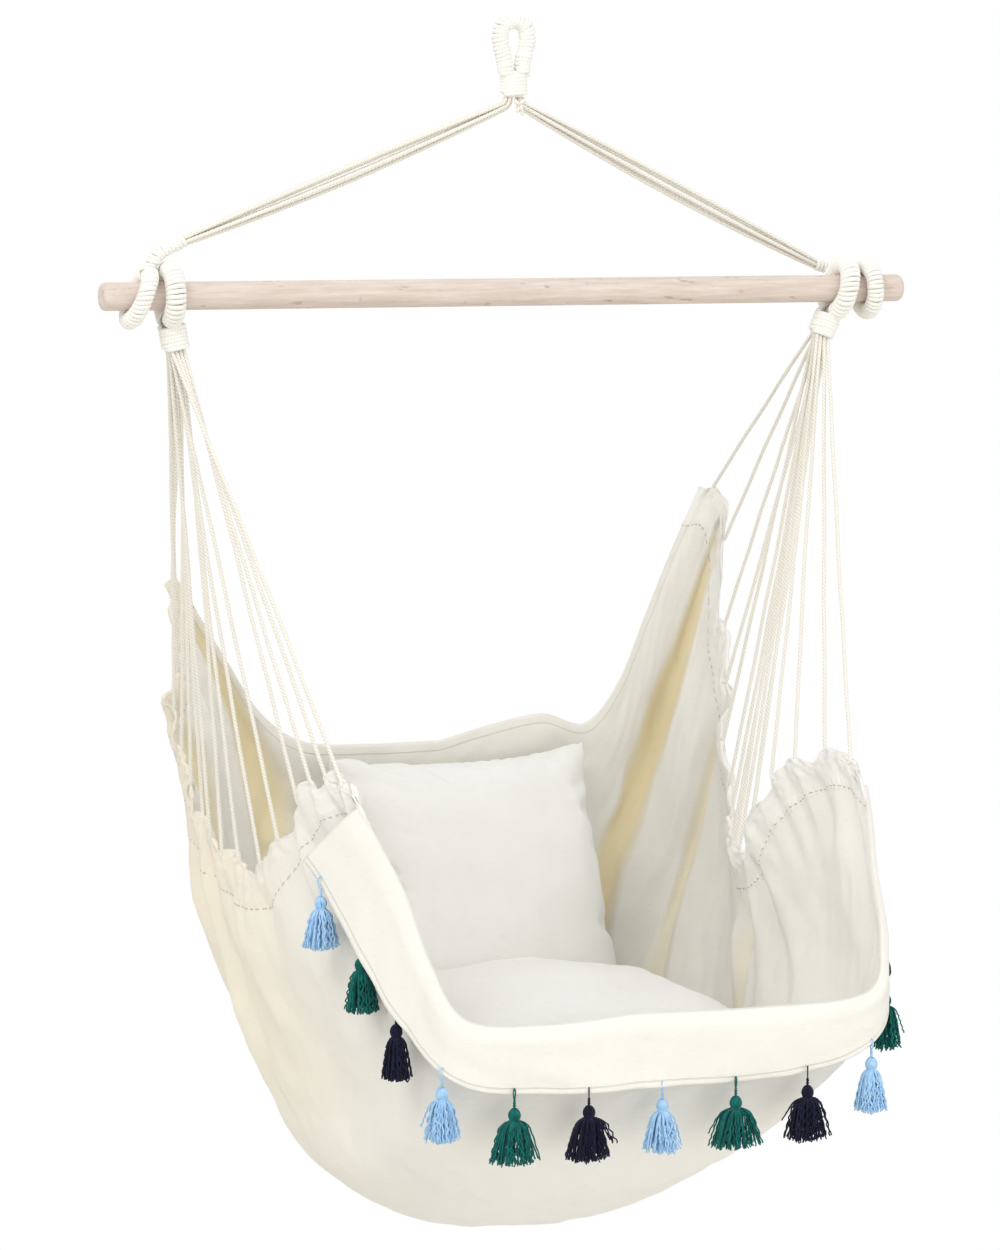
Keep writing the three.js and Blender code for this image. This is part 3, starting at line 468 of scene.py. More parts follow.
def spreader_bar():
    end = BAR_LENGTH / 2
    bend = np.linspace(0, math.pi / 2, 7)
    stations = [(-end, 0.0), (-end, BAR_RADIUS - BAR_ROUND)]
    stations += [(-end + BAR_ROUND * (1 - math.cos(a)), BAR_RADIUS - BAR_ROUND * (1 - math.sin(a)))
                 for a in bend]
    stations += [(x, BAR_RADIUS) for x in np.linspace(-end + 0.02, end - 0.02, 25)]
    stations += [(-x, r) for x, r in reversed(stations[:9])]
    x, r = np.array(stations).T
    r = np.maximum(r, 1e-5)
    angle = np.arange(64) * TURN / 64
    rings = np.stack([
        np.broadcast_to(x[:, None], (len(x), 64)),
        r[:, None] * np.cos(angle),
        BAR_Z + r[:, None] * np.sin(angle),
    ], axis=-1)
    batch = Batch()
    batch.add(rings, x)
    return batch.build("bar_wood", wood)


dress(spreader_bar(), "spreader_bar", "wood", "spreader_bar")

# Windings: twine wound round the loop, the eyes, their necks and the collars


def wind(batch, line, normal, turns, outer, thread, depth_share=1.0, seed=0):
    """Twine wound round a flat line, each turn a little uneven, as wound by hand."""
    rng = np.random.default_rng(seed)
    count = turns * TURN_POINTS
    path = spaced(line, length_of(line) / count)[:count]
    tangent = unit(np.gradient(path, axis=0))
    inward = unit(np.cross(normal, tangent))
    place = np.arange(len(path))
    angle = place * TURN / TURN_POINTS
    knots = np.arange(0, len(path) + 8, 8)
    wobble = np.interp(place, knots, rng.normal(0, 0.00022, len(path) // 8 + 2)[:len(knots)])
    radius = (outer - thread / 2 + wobble)[:, None]
    coil = path + inward * radius * np.cos(angle)[:, None]
    coil = coil + normal * radius * np.sin(angle)[:, None] * depth_share
    slips = rng.normal(0, thread * 0.05, len(angle[::5]))
    coil = coil + tangent * np.interp(angle, angle[::5], slips)[:, None]
    batch.rope(coil, thread * 0.60, sides=8)


def loop_line():
    radius = (LOOP_WIDTH - LOOP_ROPE) / 2
    top = LOOP_ROPE / 2
    leg = (LOOP_ROPE + 0.0005 + GAP) / 2
    arc = top - radius
    right = [(leg, -LOOP_HEIGHT), (leg * 1.12, -LOOP_HEIGHT * 0.72), (radius * 0.9, -LOOP_HEIGHT * 0.42)]
    right += [(radius, arc), (radius * math.sqrt(0.5), arc + radius * math.sqrt(0.5))]
    flat = right + [(0, top)] + [(-x, z) for x, z in reversed(right)]
    return spline([(x, 0, z) for x, z in flat], 160)


def loop_windings():
    batch = Batch()
    wind(batch, loop_line(), Y, 33, LOOP_ROPE / 2, LOOP_TWINE, seed=3)
    throat = np.linspace((0, 0, -THROAT_TOP + 0.002), (0, 0, -THROAT_BOTTOM + 0.0028), 60)
    wind(batch, throat, Y, 6, THROAT_WIDTH / 2, LOOP_TWINE, THROAT_DEPTH / THROAT_WIDTH, seed=4)
    return batch.build("loop_twine", twine)


dress(loop_windings(), "hanging_loop", "twine", "loop_whipping", "throat_whipping")


def ring_line(radius, start, opening):
    angle = start + opening / 2 + np.linspace(0, TURN - opening, 160)
    return np.stack([np.zeros_like(angle), radius * np.cos(angle), radius * np.sin(angle)], axis=1)


def lean(points, degrees, x):
    out = points.copy()
    out[:, 0] += x - math.tan(math.radians(degrees)) * points[:, 2]
    out[:, 2] += BAR_Z
    return out


def mirror(points, side):
    return points * np.array([side, 1, 1])


def neck_place(place):
    inward, behind, rise = place
    return np.array([UPPER_EYE_X - inward, behind, BAR_Z + rise])


def upper_windings(side):
    batch = Batch()
    hand = HANDS[side]
    start = math.radians(hand["neck_from"])
    ring = lean(ring_line(UPPER_RING, start, math.radians(46)), hand["upper_lean"], UPPER_EYE_X)
    wind(batch, mirror(ring, side), X, 34, UPPER_EYE_ROPE / 2, UPPER_TWINE, seed=11 + side)
    near, far = neck_place(hand["near"]), neck_place(hand["far"])
    rise = UPPER_RING * math.sin(start)
    shear = math.tan(math.radians(hand["upper_lean"]))
    root = np.array([UPPER_EYE_X - rise * shear, UPPER_RING * math.cos(start), BAR_Z + rise])
    bend = near + (root - near) * hand["bend"] + Z * 0.0026
    neck = spline([root, (root + bend) / 2, bend, near, far], 60)
    run = unit(near - far)
    across = mirror(unit(Y - run * run[1]), side)
    wind(batch, mirror(neck, side), across, 12, NECK_ROPE / 2, UPPER_TWINE, seed=15 + side)
    return batch.build(f"upper_twine_{hand['name']}", twine)


def collar_line(side):
    """The collar's way down, its top and the end of the rope inside it, for the bar's right half."""
    hand = HANDS[side]
    angle = math.radians(hand["collar_lean"])
    axis = np.array([-math.sin(angle), 0, -math.cos(angle)])
    inward, drop = hand["collar"]
    top = np.array([LOWER_EYE_X - inward, 0, BAR_Z - drop])
    return axis, top, top + axis * COLLAR_LENGTH / 2


def lower_windings(side):
    batch = Batch()
    hand = HANDS[side]
    ring = lean(ring_line(LOWER_RING, -TURN / 4, math.radians(40)), hand["lower_lean"], LOWER_EYE_X)
    wind(batch, mirror(ring, side), X, 34, LOWER_EYE_ROPE / 2, LOWER_TWINE, seed=21 + side)
    axis, top, _ = collar_line(side)
    collar = np.linspace(top - axis * 0.004, top + axis * COLLAR_LENGTH, 60)
    wind(batch, mirror(collar, side), Y, 6, COLLAR_DIAMETER / 2, LOOP_TWINE, seed=25 + side)
    return batch.build(f"lower_twine_{hand['name']}", twine)


for side, hand in HANDS.items():
    name = hand["name"]
    dress(upper_windings(side), "harness", "twine", f"upper_whipping_{name}", f"neck_whipping_{name}")
    dress(lower_windings(side), "seat", "twine", f"lower_whipping_{name}", f"collar_whipping_{name}")

# Top cords

THROAT_EXIT = -THROAT_BOTTOM - GAP - TOP_CORD / 2


def top_route(side, a, b):
    """A cord's route from the throat to the neck. a and b are its place in the bundle."""
    end = neck_place(HANDS[side]["far"])
    fall = THROAT_EXIT - end[2] - BUNDLE_BEND / 2
    slope = math.atan2(fall, end[0] - BUNDLE_OFFSET - BUNDLE_BEND / 2)
    swing = TURN / 4 - slope
    reach = BUNDLE_BEND - a

    def on_bend(share):
        x = BUNDLE_OFFSET + BUNDLE_BEND - reach * math.cos(swing * share)
        return np.array([x, b, THROAT_EXIT - reach * math.sin(swing * share)])

    up = np.array([math.sin(slope), 0, math.cos(slope)])
    start = on_bend(1) - up * a - Y * b
    end = end - X * NECK_GAP + Z * GAP / 2
    points = [np.array([BUNDLE_OFFSET + a, b, -THROAT_BOTTOM - GAP])]
    points += [on_bend(share) for share in (0, 0.25, 0.5, 0.75, 1)]
    for share in np.linspace(0.06, 1, 18):
        swell = math.sin(math.pi * share)
        spread = 1 + (BUNDLE_SPREAD - 1) * max(swell, 0) ** 0.8
        p = start + (end - start) * share - Z * BUNDLE_SAG * swell
        points.append(p + up * a * spread + Y * b * spread)
    return spaced(mirror(np.array(points), side), CORD_STEP)


for side, hand in HANDS.items():
    for k in range(BUNDLE_CORDS):
        angle = TURN * (k + 0.5) / BUNDLE_CORDS
        route = top_route(side, BUNDLE_RADIUS * math.cos(angle), BUNDLE_RADIUS * math.sin(angle))
        place = f"{hand['name']}_{k + 1}"
        taut_cord(f"top_rope_{place}", "harness", f"top_cord_{place}", route, TOP_CORD, k)


for side, hand in HANDS.items():  # the thinner cords that run in the middle of a bundle
    batch = Batch()
    for k, (a, b) in enumerate(((0.0016, 0.0), (-0.0012, 0.0016), (-0.0010, -0.0018))):
        batch.rope(top_route(side, a, b), 0.0019, sides=8, lobes=3, pitch=0.012, phase=k)
    dress(batch.build(f"fine_cords_{hand['name']}", cotton), "harness", "cord")


def tie_knot():
    """The small knot of cord ends under the throat."""
    batch = Batch()
    t = np.linspace(0, TURN, 90)
    centre = np.array([0.002, -0.0145, -0.0865])
    knot = np.stack([
        0.0052 * (np.sin(t) + 0.9 * np.sin(2 * t)) * 0.6,
        0.0030 * np.sin(3 * t),
        0.0058 * (np.cos(t) - 0.9 * np.cos(2 * t)) * 0.6,
    ], axis=1)
    tail = spline([centre, centre + (0.001, -0.002, -0.006), centre + (0.0035, -0.001, -0.012)], 14)
    other = spline([centre, centre + (-0.002, -0.002, -0.005), centre + (-0.0045, -0.001, -0.009)], 14)
    for line, radius in ((centre + knot, 0.0024), (tail, 0.0021), (other, 0.0020)):
        batch.rope(line, radius, sides=8, lobes=3, pitch=0.009)
    return batch.build("tie_knot", cotton)


dress(tie_knot(), "harness", "cord")

# Seat cloth surface, as in the part's source

EDGE = {
    -1: np.array([
        [0, 0.99, 0.61, 0.311], [0.22, 1.005, 0.52, 0.455], [0.4, 0.98, 0.36, 0.556],
        [0.54, 0.95, 0.156, 0.59], [0.67, 0.91, -0.12, 0.59], [0.75, 0.895, -0.29, 0.535],
        [0.84, 0.87, -0.43, 0.49], [0.92, 0.85, -0.56, 0.476], [1, 0.83, -0.662, 0.488]]),
    1: np.array([
        [0, 0.965, 0.64, 0.232], [0.055, 1.035, 0.6, 0.243], [0.14, 1.03, 0.56, 0.368],
        [0.3, 0.98, 0.43, 0.53],
        [0.45, 0.914, 0.26, 0.61], [0.58, 0.857, 0.11, 0.62], [0.67, 0.83, -0.03, 0.6],
        [0.75, 0.83, -0.15, 0.54], [0.84, 0.87, -0.31, 0.5], [0.92, 0.912, -0.49, 0.482],
        [1, 0.925, -0.662, 0.494]])}
MIDDLE = np.array([
    [0, 0, 0.688, 0.515], [0.12, 0, 0.753, 0.646], [0.3, 0, 0.636, 0.832], [0.45, 0, 0.312, 0.961],
    [0.6, 0, -0.182, 1], [0.76, 0, -0.662, 0.933], [0.88, 0, -0.922, 0.822], [1, 0, -1, 0.718]])
BACK = {
    -1: [[1, 0], [0.89, 0.25], [0.78, 0.52], [0.66, 0.8], [0.5, 0.97], [0.25, 1], [0, 1]],
    1: [[1, 0], [0.9, 0.25], [0.8, 0.52], [0.7, 0.79], [0.57, 0.955], [0.4, 0.91], [0.22, 0.94], [0, 1]]}
BELLY = {
    -1: [[1, 0], [0.98, 0.22], [0.9, 0.45], [0.82, 0.66], [0.71, 0.85], [0.4, 0.975], [0, 1]],
    1: [[1, 0], [1.03, 0.22], [0.98, 0.45], [0.87, 0.66], [0.67, 0.85], [0.35, 0.965], [0, 1]]}
FRONT = {
    -1: [[1, 0], [0.92, 0.21], [0.84, 0.45], [0.78, 0.74], [0.67, 0.98], [0.34, 1.02], [0, 1]],
    1: [[1, 0], [0.99, 0.21], [0.965, 0.45], [0.95, 0.74], [0.86, 0.98], [0.46, 1.01], [0, 1]]}
FLAP_SHARES = np.array([[1.16], [1.1], [1], [0.84], [0.88], [0.94], [0.93], [0.56], [0.56], [0.6], [0.72]])
FLAP_HANG = {0: (0.9, 0.3, 0.5), -1: (0.9, 0.4, 0.9), 1: (0.95, 0.15, 0.1)}


def along(table, v):
    place = np.interp(v, table[:, 0], np.arange(len(table))) / (len(table) - 1)
    shares = through(table[:, 1:], place)
    return shares * (SEAT_HALF_WIDTH, SEAT_REACH, -SEAT_DROP) + (0, 0, BAR_Z)


def cloth_point(v, u):
    """The cloth's middle surface: u from -1 at the left edge to 1, v from the back to the front."""
    v, u = np.broadcast_arrays(np.asarray(v, float), np.asarray(u, float))
    left = (u < 0)[..., None]
    edge = np.where(left, along(EDGE[-1], v), along(EDGE[1], v))
    middle, t = along(MIDDLE, v), 1 - np.abs(u)
    back, belly, front = (
        np.where(left, through(table[-1], t), through(table[1], t)) for table in (BACK, BELLY, FRONT))
    back_weight = (1 - smooth(v, 0, 0.38))[..., None]
    front_weight = smooth(v, 0.66, 1)[..., None]
    mixed = back * back_weight + front * front_weight + belly * (1 - back_weight - front_weight)
    depth = np.maximum(mixed[..., 1], 0)
    x = np.sign(u) * edge[..., 0] * mixed[..., 0]
    y = edge[..., 1] + (middle[..., 1] - edge[..., 1]) * depth**0.8
    z = edge[..., 2] + (middle[..., 2] - edge[..., 2]) * depth
    return np.stack([x, y, z], axis=-1)


def cloth_normal(v, u):
    e = 1e-3
    across = cloth_point(v, np.minimum(u + e, 1)) - cloth_point(v, np.maximum(u - e, -1))
    down = cloth_point(np.minimum(v + e, 1), u) - cloth_point(np.maximum(v - e, 0), u)
    return unit(np.cross(across, down))


def cloth_rows(shares, columns, inset):
    """Rows of the cloth at even steps across: each point's u, its place and its distance from the left."""
    u_all, points, runs = [], [], []
    samples = np.linspace(-1, 1, ACROSS_SAMPLES)
    for v in shares:
        line = cloth_point(v, samples)
        run = run_along(line)
        at = np.linspace(inset, run[-1] - inset, columns)
        u_all.append(np.interp(at, run, samples))
        points.append(at_runs(line, run, at))
        runs.append(at)
    return np.array(u_all), np.array(points), np.array(runs)


def plateau(x, rise, fall):
    return smooth(x, *rise) * (1 - smooth(x, *fall))


def fold_shift(v, u):
    """How far the main folds stand out of the surface, outwards."""
    reach = SEAT_HALF_WIDTH * 0.034 * plateau(np.abs(u), (0.3, 0.6), (0.74, 0.86))
    reach = reach * plateau(v, (0.02, 0.14), (0.86, 0.97))
    return reach * np.cos(TURN * (2.7 * v + 1.3 * np.abs(u)))


# The deep folds that each gathered side sends down into the seat: distance from the side's edge, v
# there, half the width in v, how far it stands out, and how much painted warm shade it gets inside
DEEP_FOLDS = {
    1: [
        [(0, 0.07, 0.012, 0.01, 0), (0.058, 0.085, 0.012, 0.018, 0.8), (0.168, 0.107, 0.019, 0.026, 1),
         (0.238, 0.112, 0.026, 0.028, 1), (0.309, 0.15, 0.04, 0.024, 1), (0.34, 0.215, 0.05, 0.016, 1),
         (0.39, 0.3, 0.06, 0, 0.6)],
        [(0, 0.23, 0.01, 0.008, 0), (0.05, 0.232, 0.01, 0.01, 0.3), (0.101, 0.236, 0.012, 0.012, 0.5),
         (0.196, 0.266, 0.016, 0.013, 0.6), (0.24, 0.298, 0.019, 0.012, 0.5), (0.3, 0.35, 0.022, 0.006, 0.4),
         (0.36, 0.42, 0.03, 0, 0.4)],
        [(0, 0.64, 0.02, 0.006, 0), (0.06, 0.59, 0.022, 0.012, 0.1), (0.13, 0.56, 0.026, 0.014, 0.4),
         (0.22, 0.56, 0.03, 0.008, 0.4), (0.3, 0.56, 0.04, 0, 0.2)],
    ],
    -1: [
        [(0, 0.2, 0.012, 0.008, 0.2), (0.047, 0.19, 0.016, 0.014, 0.8), (0.12, 0.18, 0.026, 0.02, 1),
         (0.179, 0.205, 0.032, 0.022, 1), (0.254, 0.27, 0.04, 0.016, 1), (0.32, 0.35, 0.045, 0, 0.4)],
        [(0, 0.02, 0.01, 0.006, 0.4), (0.084, 0.024, 0.014, 0.012, 0.9), (0.176, 0.034, 0.02, 0.018, 1),
         (0.227, 0.055, 0.028, 0.022, 1), (0.285, 0.1, 0.04, 0.02, 1), (0.34, 0.18, 0.05, 0, 0.8)],
        [(0, 0.6, 0.02, 0.006, 0), (0.08, 0.6, 0.024, 0.01, 0.1), (0.18, 0.59, 0.03, 0.008, 0.3),
         (0.3, 0.58, 0.04, 0, 0.1)],
    ],
}


def deep_folds(v, away, side):
    """How far the deep folds stand out at v and a distance from one side's edge, and how much painted warm
    shade they get.
    """
    out, warm = np.zeros(np.shape(v)), np.zeros(np.shape(v))
    for line in DEEP_FOLDS[side]:
        reach, *columns = np.array(line).T
        centre, width, depth, shade_share = (np.interp(away, reach, column) for column in columns)
        beyond = np.exp(-np.maximum(away - reach[-1], 0) / 0.03)
        trough = np.exp(-0.7 * ((v - centre) / width) ** 4)
        out = out + trough * depth * beyond
        warm = np.maximum(warm, trough * shade_share * beyond)
    return out, warm


def pleats(v, away, side):
    """Pleats that the gathered casing sends into the cloth, long ones and short ones."""
    seed = 31 if side < 0 else 47
    warp = 0.030 * ripple(seed, v * 1.0, away * 0.8, 0.20, 0.5)
    uneven = np.clip(0.6 + 0.6 * ripple(seed + 1, v * 1.0, 0 * away, 0.08, 0.25), 0, 1.6)
    short = np.cos(TURN * 42 * (v + warp)) * np.exp(-away / 0.045) * 0.0016 * uneven
    middling = np.cos(TURN * 15 * (v + 1.6 * warp) + 1) * np.exp(-away / 0.12) * 0.0024 * (1.6 - uneven)
    long, deeper = np.zeros(np.shape(v)), 1.6 if side < 0 else 1.15
    rng = np.random.default_rng(seed)
    for centre in np.arange(0.03, 1.0, 0.075):
        centre += rng.uniform(-0.03, 0.03)
        drift, size, reach = rng.uniform(0.02, 0.34), rng.uniform(0.010, 0.024), rng.uniform(0.16, 0.50)
        x = (v - centre - drift * away) / (size * (1 + 2.5 * away))
        fade = smooth(away, 0.0, 0.07) * np.exp(-((away / reach) ** 2))
        ridge = np.exp(-(x**2)) - 0.6 * np.exp(-((x - 1.7) ** 2))
        long = long + ridge * fade * rng.uniform(0.002, 0.0065)
    return short + middling + deeper * long


def ruffle(v, run, width):
    """How far the gathered cloth stands out at v and a distance from its left edge, and how much painted
    warm shade it gets.
    """
    left, left_shade = deep_folds(v, run, -1)
    right, right_shade = deep_folds(v, width - run, 1)
    middle = smooth(np.minimum(run, width - run), 0.20, 0.42)
    shift = pleats(v, run, -1) + pleats(v, width - run, 1)
    shift += 0.0020 * ripple(5, run, v * 1.2, 0.10, 0.26) * (1 - 0.5 * middle)
    shift += 0.0006 * ripple(6, run, v * 1.2, 0.03, 0.07)
    shift *= smooth(v, 0, 0.02) * (1 - smooth(v, 0.975, 1)) * 0.9 + 0.1
    return shift + left + right, np.maximum(left_shade, right_shade)


def flap_frame(u):
    """The way out of the cloth at the rim, the way the flap hangs there and how deep it is."""
    out = cloth_normal(np.ones_like(u), u)
    weight = smooth(np.abs(u), 0.2, 0.5)[:, None]
    back, away, down = (
        np.array(FLAP_HANG[0]) * (1 - weight)
        + np.where((u < 0)[:, None], FLAP_HANG[-1], FLAP_HANG[1]) * weight).T[..., None]
    along_seat = unit(cloth_point(0.99, u) - cloth_point(1.0, u))
    hang = unit(along_seat * back + out * away - Z * down)
    return out, hang, FLAP_DEPTH * through(FLAP_SHARES, (u + 1) / 2)


def cloth_grid(rows, columns):
    """Points of the seat from the back hem over the rim to the flap's hem, their cloth coordinates and how
    much painted warm shade each gets.
    """
    inset = CASING_DEPTH - 0.006
    v = np.linspace(0, 1, rows)
    u, points, run = cloth_rows(v, columns, inset)
    v2 = np.broadcast_to(v[:, None], u.shape)
    width = run[:, -1:] + inset
    shift, warm = ruffle(v2, run, width)
    points = points + cloth_normal(v2, u) * (0.6 * fold_shift(v2, u) + shift)[..., None]
    flap, hem_run = [], []
    edge_u, edge, edge_run = u[-1], cloth_rows([1.0], columns, inset)[1][0], run[-1]
    out, hang, depth = flap_frame(edge_u)
    shares = np.linspace(0, 1, FLAP_ROWS)[1:]
    for share in shares:
        stand = FLAP_STAND_OFF * math.sin(min(share * 4, 1) * TURN / 4)
        swing = 0.0042 * share * ripple(8, edge_run, share * 0.05, 0.12, 0.34)
        swing += 0.0010 * share * ripple(9, edge_run, share * 0.09, 0.03, 0.07)
        flap.append(edge + hang * depth * share + out * (stand + swing)[:, None])
        hem_run.append(edge_run)
    grid = np.concatenate([points, np.array(flap)])
    hem_lengths = RIM + np.linspace(0, FLAP_DEPTH, FLAP_ROWS)[1:, None] * np.ones((1, columns))
    lengths = np.concatenate([v2 * RIM, hem_lengths])
    across = np.concatenate([run - width / 2, np.array(hem_run) - width[-1] / 2])
    warm = np.concatenate([warm, np.zeros((FLAP_ROWS - 1, columns))])
    return grid, np.stack([across, lengths], axis=-1), warm


def left_outside_shade(v):
    """How much painted warm shade the left outside gets, from the back to the front."""
    return 0.42 * (1 - smooth(v, 0.52, 0.90))


# Stores how much painted warm shade each point gets, as the attribute the canvas reads
def add_painted_shade(mesh, values):
    mesh.attributes.new("warm", "FLOAT", "POINT").data.foreach_set("value", np.asarray(values, np.float32))


def thick_sheet(name, grid, uv, warm, outer_shade, thickness, material):
    """A closed sheet of even thickness round a grid of points. warm and the outer grid after it say how
    much painted warm shade its inside and its outside get."""
    rows, columns = grid.shape[:2]
    normal = unit(np.cross(np.gradient(grid, axis=1), np.gradient(grid, axis=0)))
    outside, inside = grid + normal * thickness / 2, grid - normal * thickness / 2
    count = rows * columns
    f_out, p_out = patch(rows, columns)
    f_in, p_in = patch(rows, columns, count, flip=True)
    border = np.concatenate([
        np.arange(columns), columns * np.arange(1, rows) + columns - 1,
        count - 2 - np.arange(columns - 1), columns * np.arange(rows - 2, 0, -1)])
    following = np.roll(border, -1)
    rim = np.stack([following, border, border + count, following + count], axis=1)
    flat = uv.reshape(-1, 2)
    corner_uv = np.concatenate([
        uv[p_out[..., 0], p_out[..., 1]], uv[p_in[..., 0], p_in[..., 1]],
        np.stack([flat[following], flat[border], flat[border], flat[following]], axis=1)])
    faces = np.concatenate([f_out, f_in, rim])
    points = np.concatenate([outside.reshape(-1, 3), inside.reshape(-1, 3)])
    obj = make_mesh(name, points, faces.tolist(), corner_uv, material)
    warm = warm.ravel()
    # Painted shade: the outside gets a little of the folds' shade and the outer grid; the inside a little
    # everywhere and more in the folds
    add_painted_shade(obj.data, np.concatenate([0.08 * warm + outer_shade.ravel(), 0.07 + 0.93 * warm]))
    return obj


seat_grid, seat_uv, seat_shade = cloth_grid(CLOTH_GRID_ROWS, CLOTH_GRID_COLUMNS)
# Painted warm shade on the left outside of the seat, less towards the front and away from the left edge
from_left = seat_uv[..., 0] - seat_uv[:, :1, 0]
seat_left_shade = left_outside_shade(seat_uv[..., 1] / RIM) * (1 - smooth(from_left, 0.20, 0.50))
seat_cloth = thick_sheet(
    "seat_canvas", seat_grid, seat_uv, seat_shade, seat_left_shade, CLOTH_THICKNESS, canvas)
dress(seat_cloth, "seat", "cloth", "seat_cloth")

# Side casings

WIDTH_SHARES = np.linspace(0, 1, 41)
width_lines = cloth_point(WIDTH_SHARES[:, None], np.linspace(-1, 1, ACROSS_SAMPLES))
WIDTHS = np.linalg.norm(np.diff(width_lines, axis=1), axis=2).sum(axis=1)


def side_surface(v, away, side):
    """The gathered cloth's middle and its way out, at places v and distances from one side's edge."""
    v, away = np.atleast_1d(v), np.atleast_2d(away)
    u = side * np.linspace(1, 0.7, 60)
    lines = cloth_point(v[:, None], u[None])
    steps = np.linalg.norm(np.diff(lines, axis=1), axis=2)
    run = np.concatenate([np.zeros((len(v), 1)), np.cumsum(steps, axis=1)], axis=1)
    at_u = np.stack([np.interp(away[k], run[k], u) for k in range(len(v))])
    column = np.broadcast_to(v[:, None], at_u.shape)
    width = np.interp(column, WIDTH_SHARES, WIDTHS)
    shift, _ = ruffle(column, away if side < 0 else width - away, width)
    normal = cloth_normal(column, at_u)
    return cloth_point(column, at_u) + normal * shift[..., None], normal


def casing(side, hand):
    """A gathered tube of cloth along the seat's side: scalloped between the cords, puckered at its seam."""
    v = np.linspace(0, 1, CASING_ROWS)
    seed = 61 + side
    rng = np.random.default_rng(seed)
    legs = LOOPS_PER_SIDE * 2
    loop = np.clip((v * LOOPS_PER_SIDE + 0.5).astype(int), 0, LOOPS_PER_SIDE)
    uneven = rng.uniform(0.75, 1.6, LOOPS_PER_SIDE + 1)[loop] * smooth(v, 0.0, 0.05)
    between_loops = (1 + np.cos(TURN * LOOPS_PER_SIDE * v)) / 2
    between_legs = (1 + np.cos(TURN * legs * (v - 0.5 / legs) + math.pi)) / 2
    dip = SCALLOP_HEIGHT * (1.7 * uneven * between_loops**1.5 + 0.3 * between_legs)
    dip = np.maximum(dip + 0.0014 * ripple(seed, v, 0 * v, 0.02, 0.06), 0)
    angle = np.arange(CASING_COLUMNS) * TURN / CASING_COLUMNS
    share = ((1 - np.cos(angle)) / 2)[None, :]
    away = dip[:, None] * share + (CASING_DEPTH + 0.024) * (1 - share)
    full = CASING_THICKNESS / 2 * (0.40 + 0.60 * smooth(share, 0.3, 0.8))
    full = full * (1 - 0.5 * between_loops[:, None] * share)
    face = np.sign(np.round(np.sin(angle), 6))
    bulge = (face * np.abs(np.sin(angle)) ** 0.6)[None, :] * full
    column = v[:, None]
    tuck = np.cos(TURN * legs * 2.5 * column + 3 * ripple(seed + 1, column, share, 0.08, 0.2))
    near_legs = 0.5 + 0.5 * np.cos(TURN * legs * (column - 0.5 / legs))
    gather = 0.0016 * tuck * smooth(share, 0.15, 0.8) * (0.4 + 0.6 * near_legs)
    pucker = 0.0008 * np.cos(TURN * 110 * column + 2 * ripple(seed + 4, column, 0, 0.03, 0.08))
    pucker = pucker * np.exp(-(((share - 0.12) / 0.10) ** 2))
    seam = -0.0010 * np.exp(-(((share - 0.10) / 0.03) ** 2))
    loose = 0.0018 * ripple(seed + 2, column * 0.8, share * 0.05, 0.06, 0.16) * smooth(share, 0.1, 0.5)
    swell = bulge + face[None, :] * (gather + pucker + seam) + loose
    middle, out = side_surface(v, away, side)
    grid = middle + out * swell[..., None]
    if side < 0:
        grid = grid[:, ::-1]
    batch = Batch()
    batch.add(grid, v * 0.8, CASING_GIRTH)
    piece = batch.build(f"casing_{hand}", casing_canvas)
    # The left casing gets the same painted warm shade as the left outside of the seat
    if side < 0:
        add_painted_shade(piece.data, [*np.repeat(left_outside_shade(v), CASING_COLUMNS), 0, 0])
    return dress(piece, "seat", "cloth", f"side_casing_{hand}")


for side, hand in HANDS.items():
    casing(side, hand["name"])

# Seat cords


def leg_start(side, order):
    column, row, middle = order // CORDS_PER_ROW, order % CORDS_PER_ROW, (CORDS_PER_ROW - 1) / 2
    axis, _, stub_end = collar_line(side)
    outward = unit(np.cross(Y, axis))
    across = outward * (row - middle) * CORD_PITCH * (1 if outward[0] > 0 else -1)
    return stub_end + axis * GAP + Y * (middle - column) * CORD_PITCH + across


def seat_leg(side, order):
    """One leg of a seat cord: from the collar to where it enters the casing."""
    v = (order + 0.5) / (LOOPS_PER_SIDE * 2)
    top = mirror(leg_start(side, order), side)
    way_out = top + mirror(collar_line(side)[0], side) * (COLLAR_LENGTH / 2 + GAP)
    entry = side_surface(v, SCALLOP_HEIGHT / 2, side)[0][0, 0]
    rng = np.random.default_rng(200 + order + 50 * side)
    share = np.linspace(0, 1, 60)[:, None]
    bow = np.sin(math.pi * share) * (rng.normal(0, 0.0012) * X + rng.normal(0, 0.0012) * Y)
    shiver = 0.0005 * np.sin(TURN * (2 + rng.uniform(0, 2)) * share + rng.uniform(0, TURN))
    shiver = shiver * np.sin(math.pi * share) * X
    return v, np.concatenate([[top], way_out + (entry - way_out) * share + bow + shiver])


def seat_route(side, k):
    va, first = seat_leg(side, 2 * k)
    vb, second = seat_leg(side, 2 * k + 1)
    inside = []
    for share in (0.14, 0.5, 0.86):
        place = va + (vb - va) * share
        inside.append(side_surface(place, RUN_DEPTH, side)[0][0, 0])
    turn_round = spline([first[-3], first[-1], *inside, second[-1], second[-3]], 60)[10:50]
    return spaced(np.concatenate([first[:-1], turn_round, second[:-1][::-1]]), CORD_STEP)


for side, hand in HANDS.items():
    for k in range(LOOPS_PER_SIDE):
        place = f"{hand['name']}_{k + 1}"
        taut_cord(f"seat_rope_{place}", "seat", f"seat_cord_{place}", seat_route(side, k), SEAT_CORD, k)

# Cushions

SEAT_CUSHION = dict(width=0.5, length=0.47, thickness=0.176, x=0.008, y=-0.055, drop=0.884, tilt=0, yaw=3)
BACK_CUSHION = dict(width=0.352, length=0.345, thickness=0.132, x=0.016, y=0.166, drop=0.72, tilt=68, yaw=5)
PILLOW_CELLS, VOXEL, CLOTH_FRAMES = 60, 0.005, 20


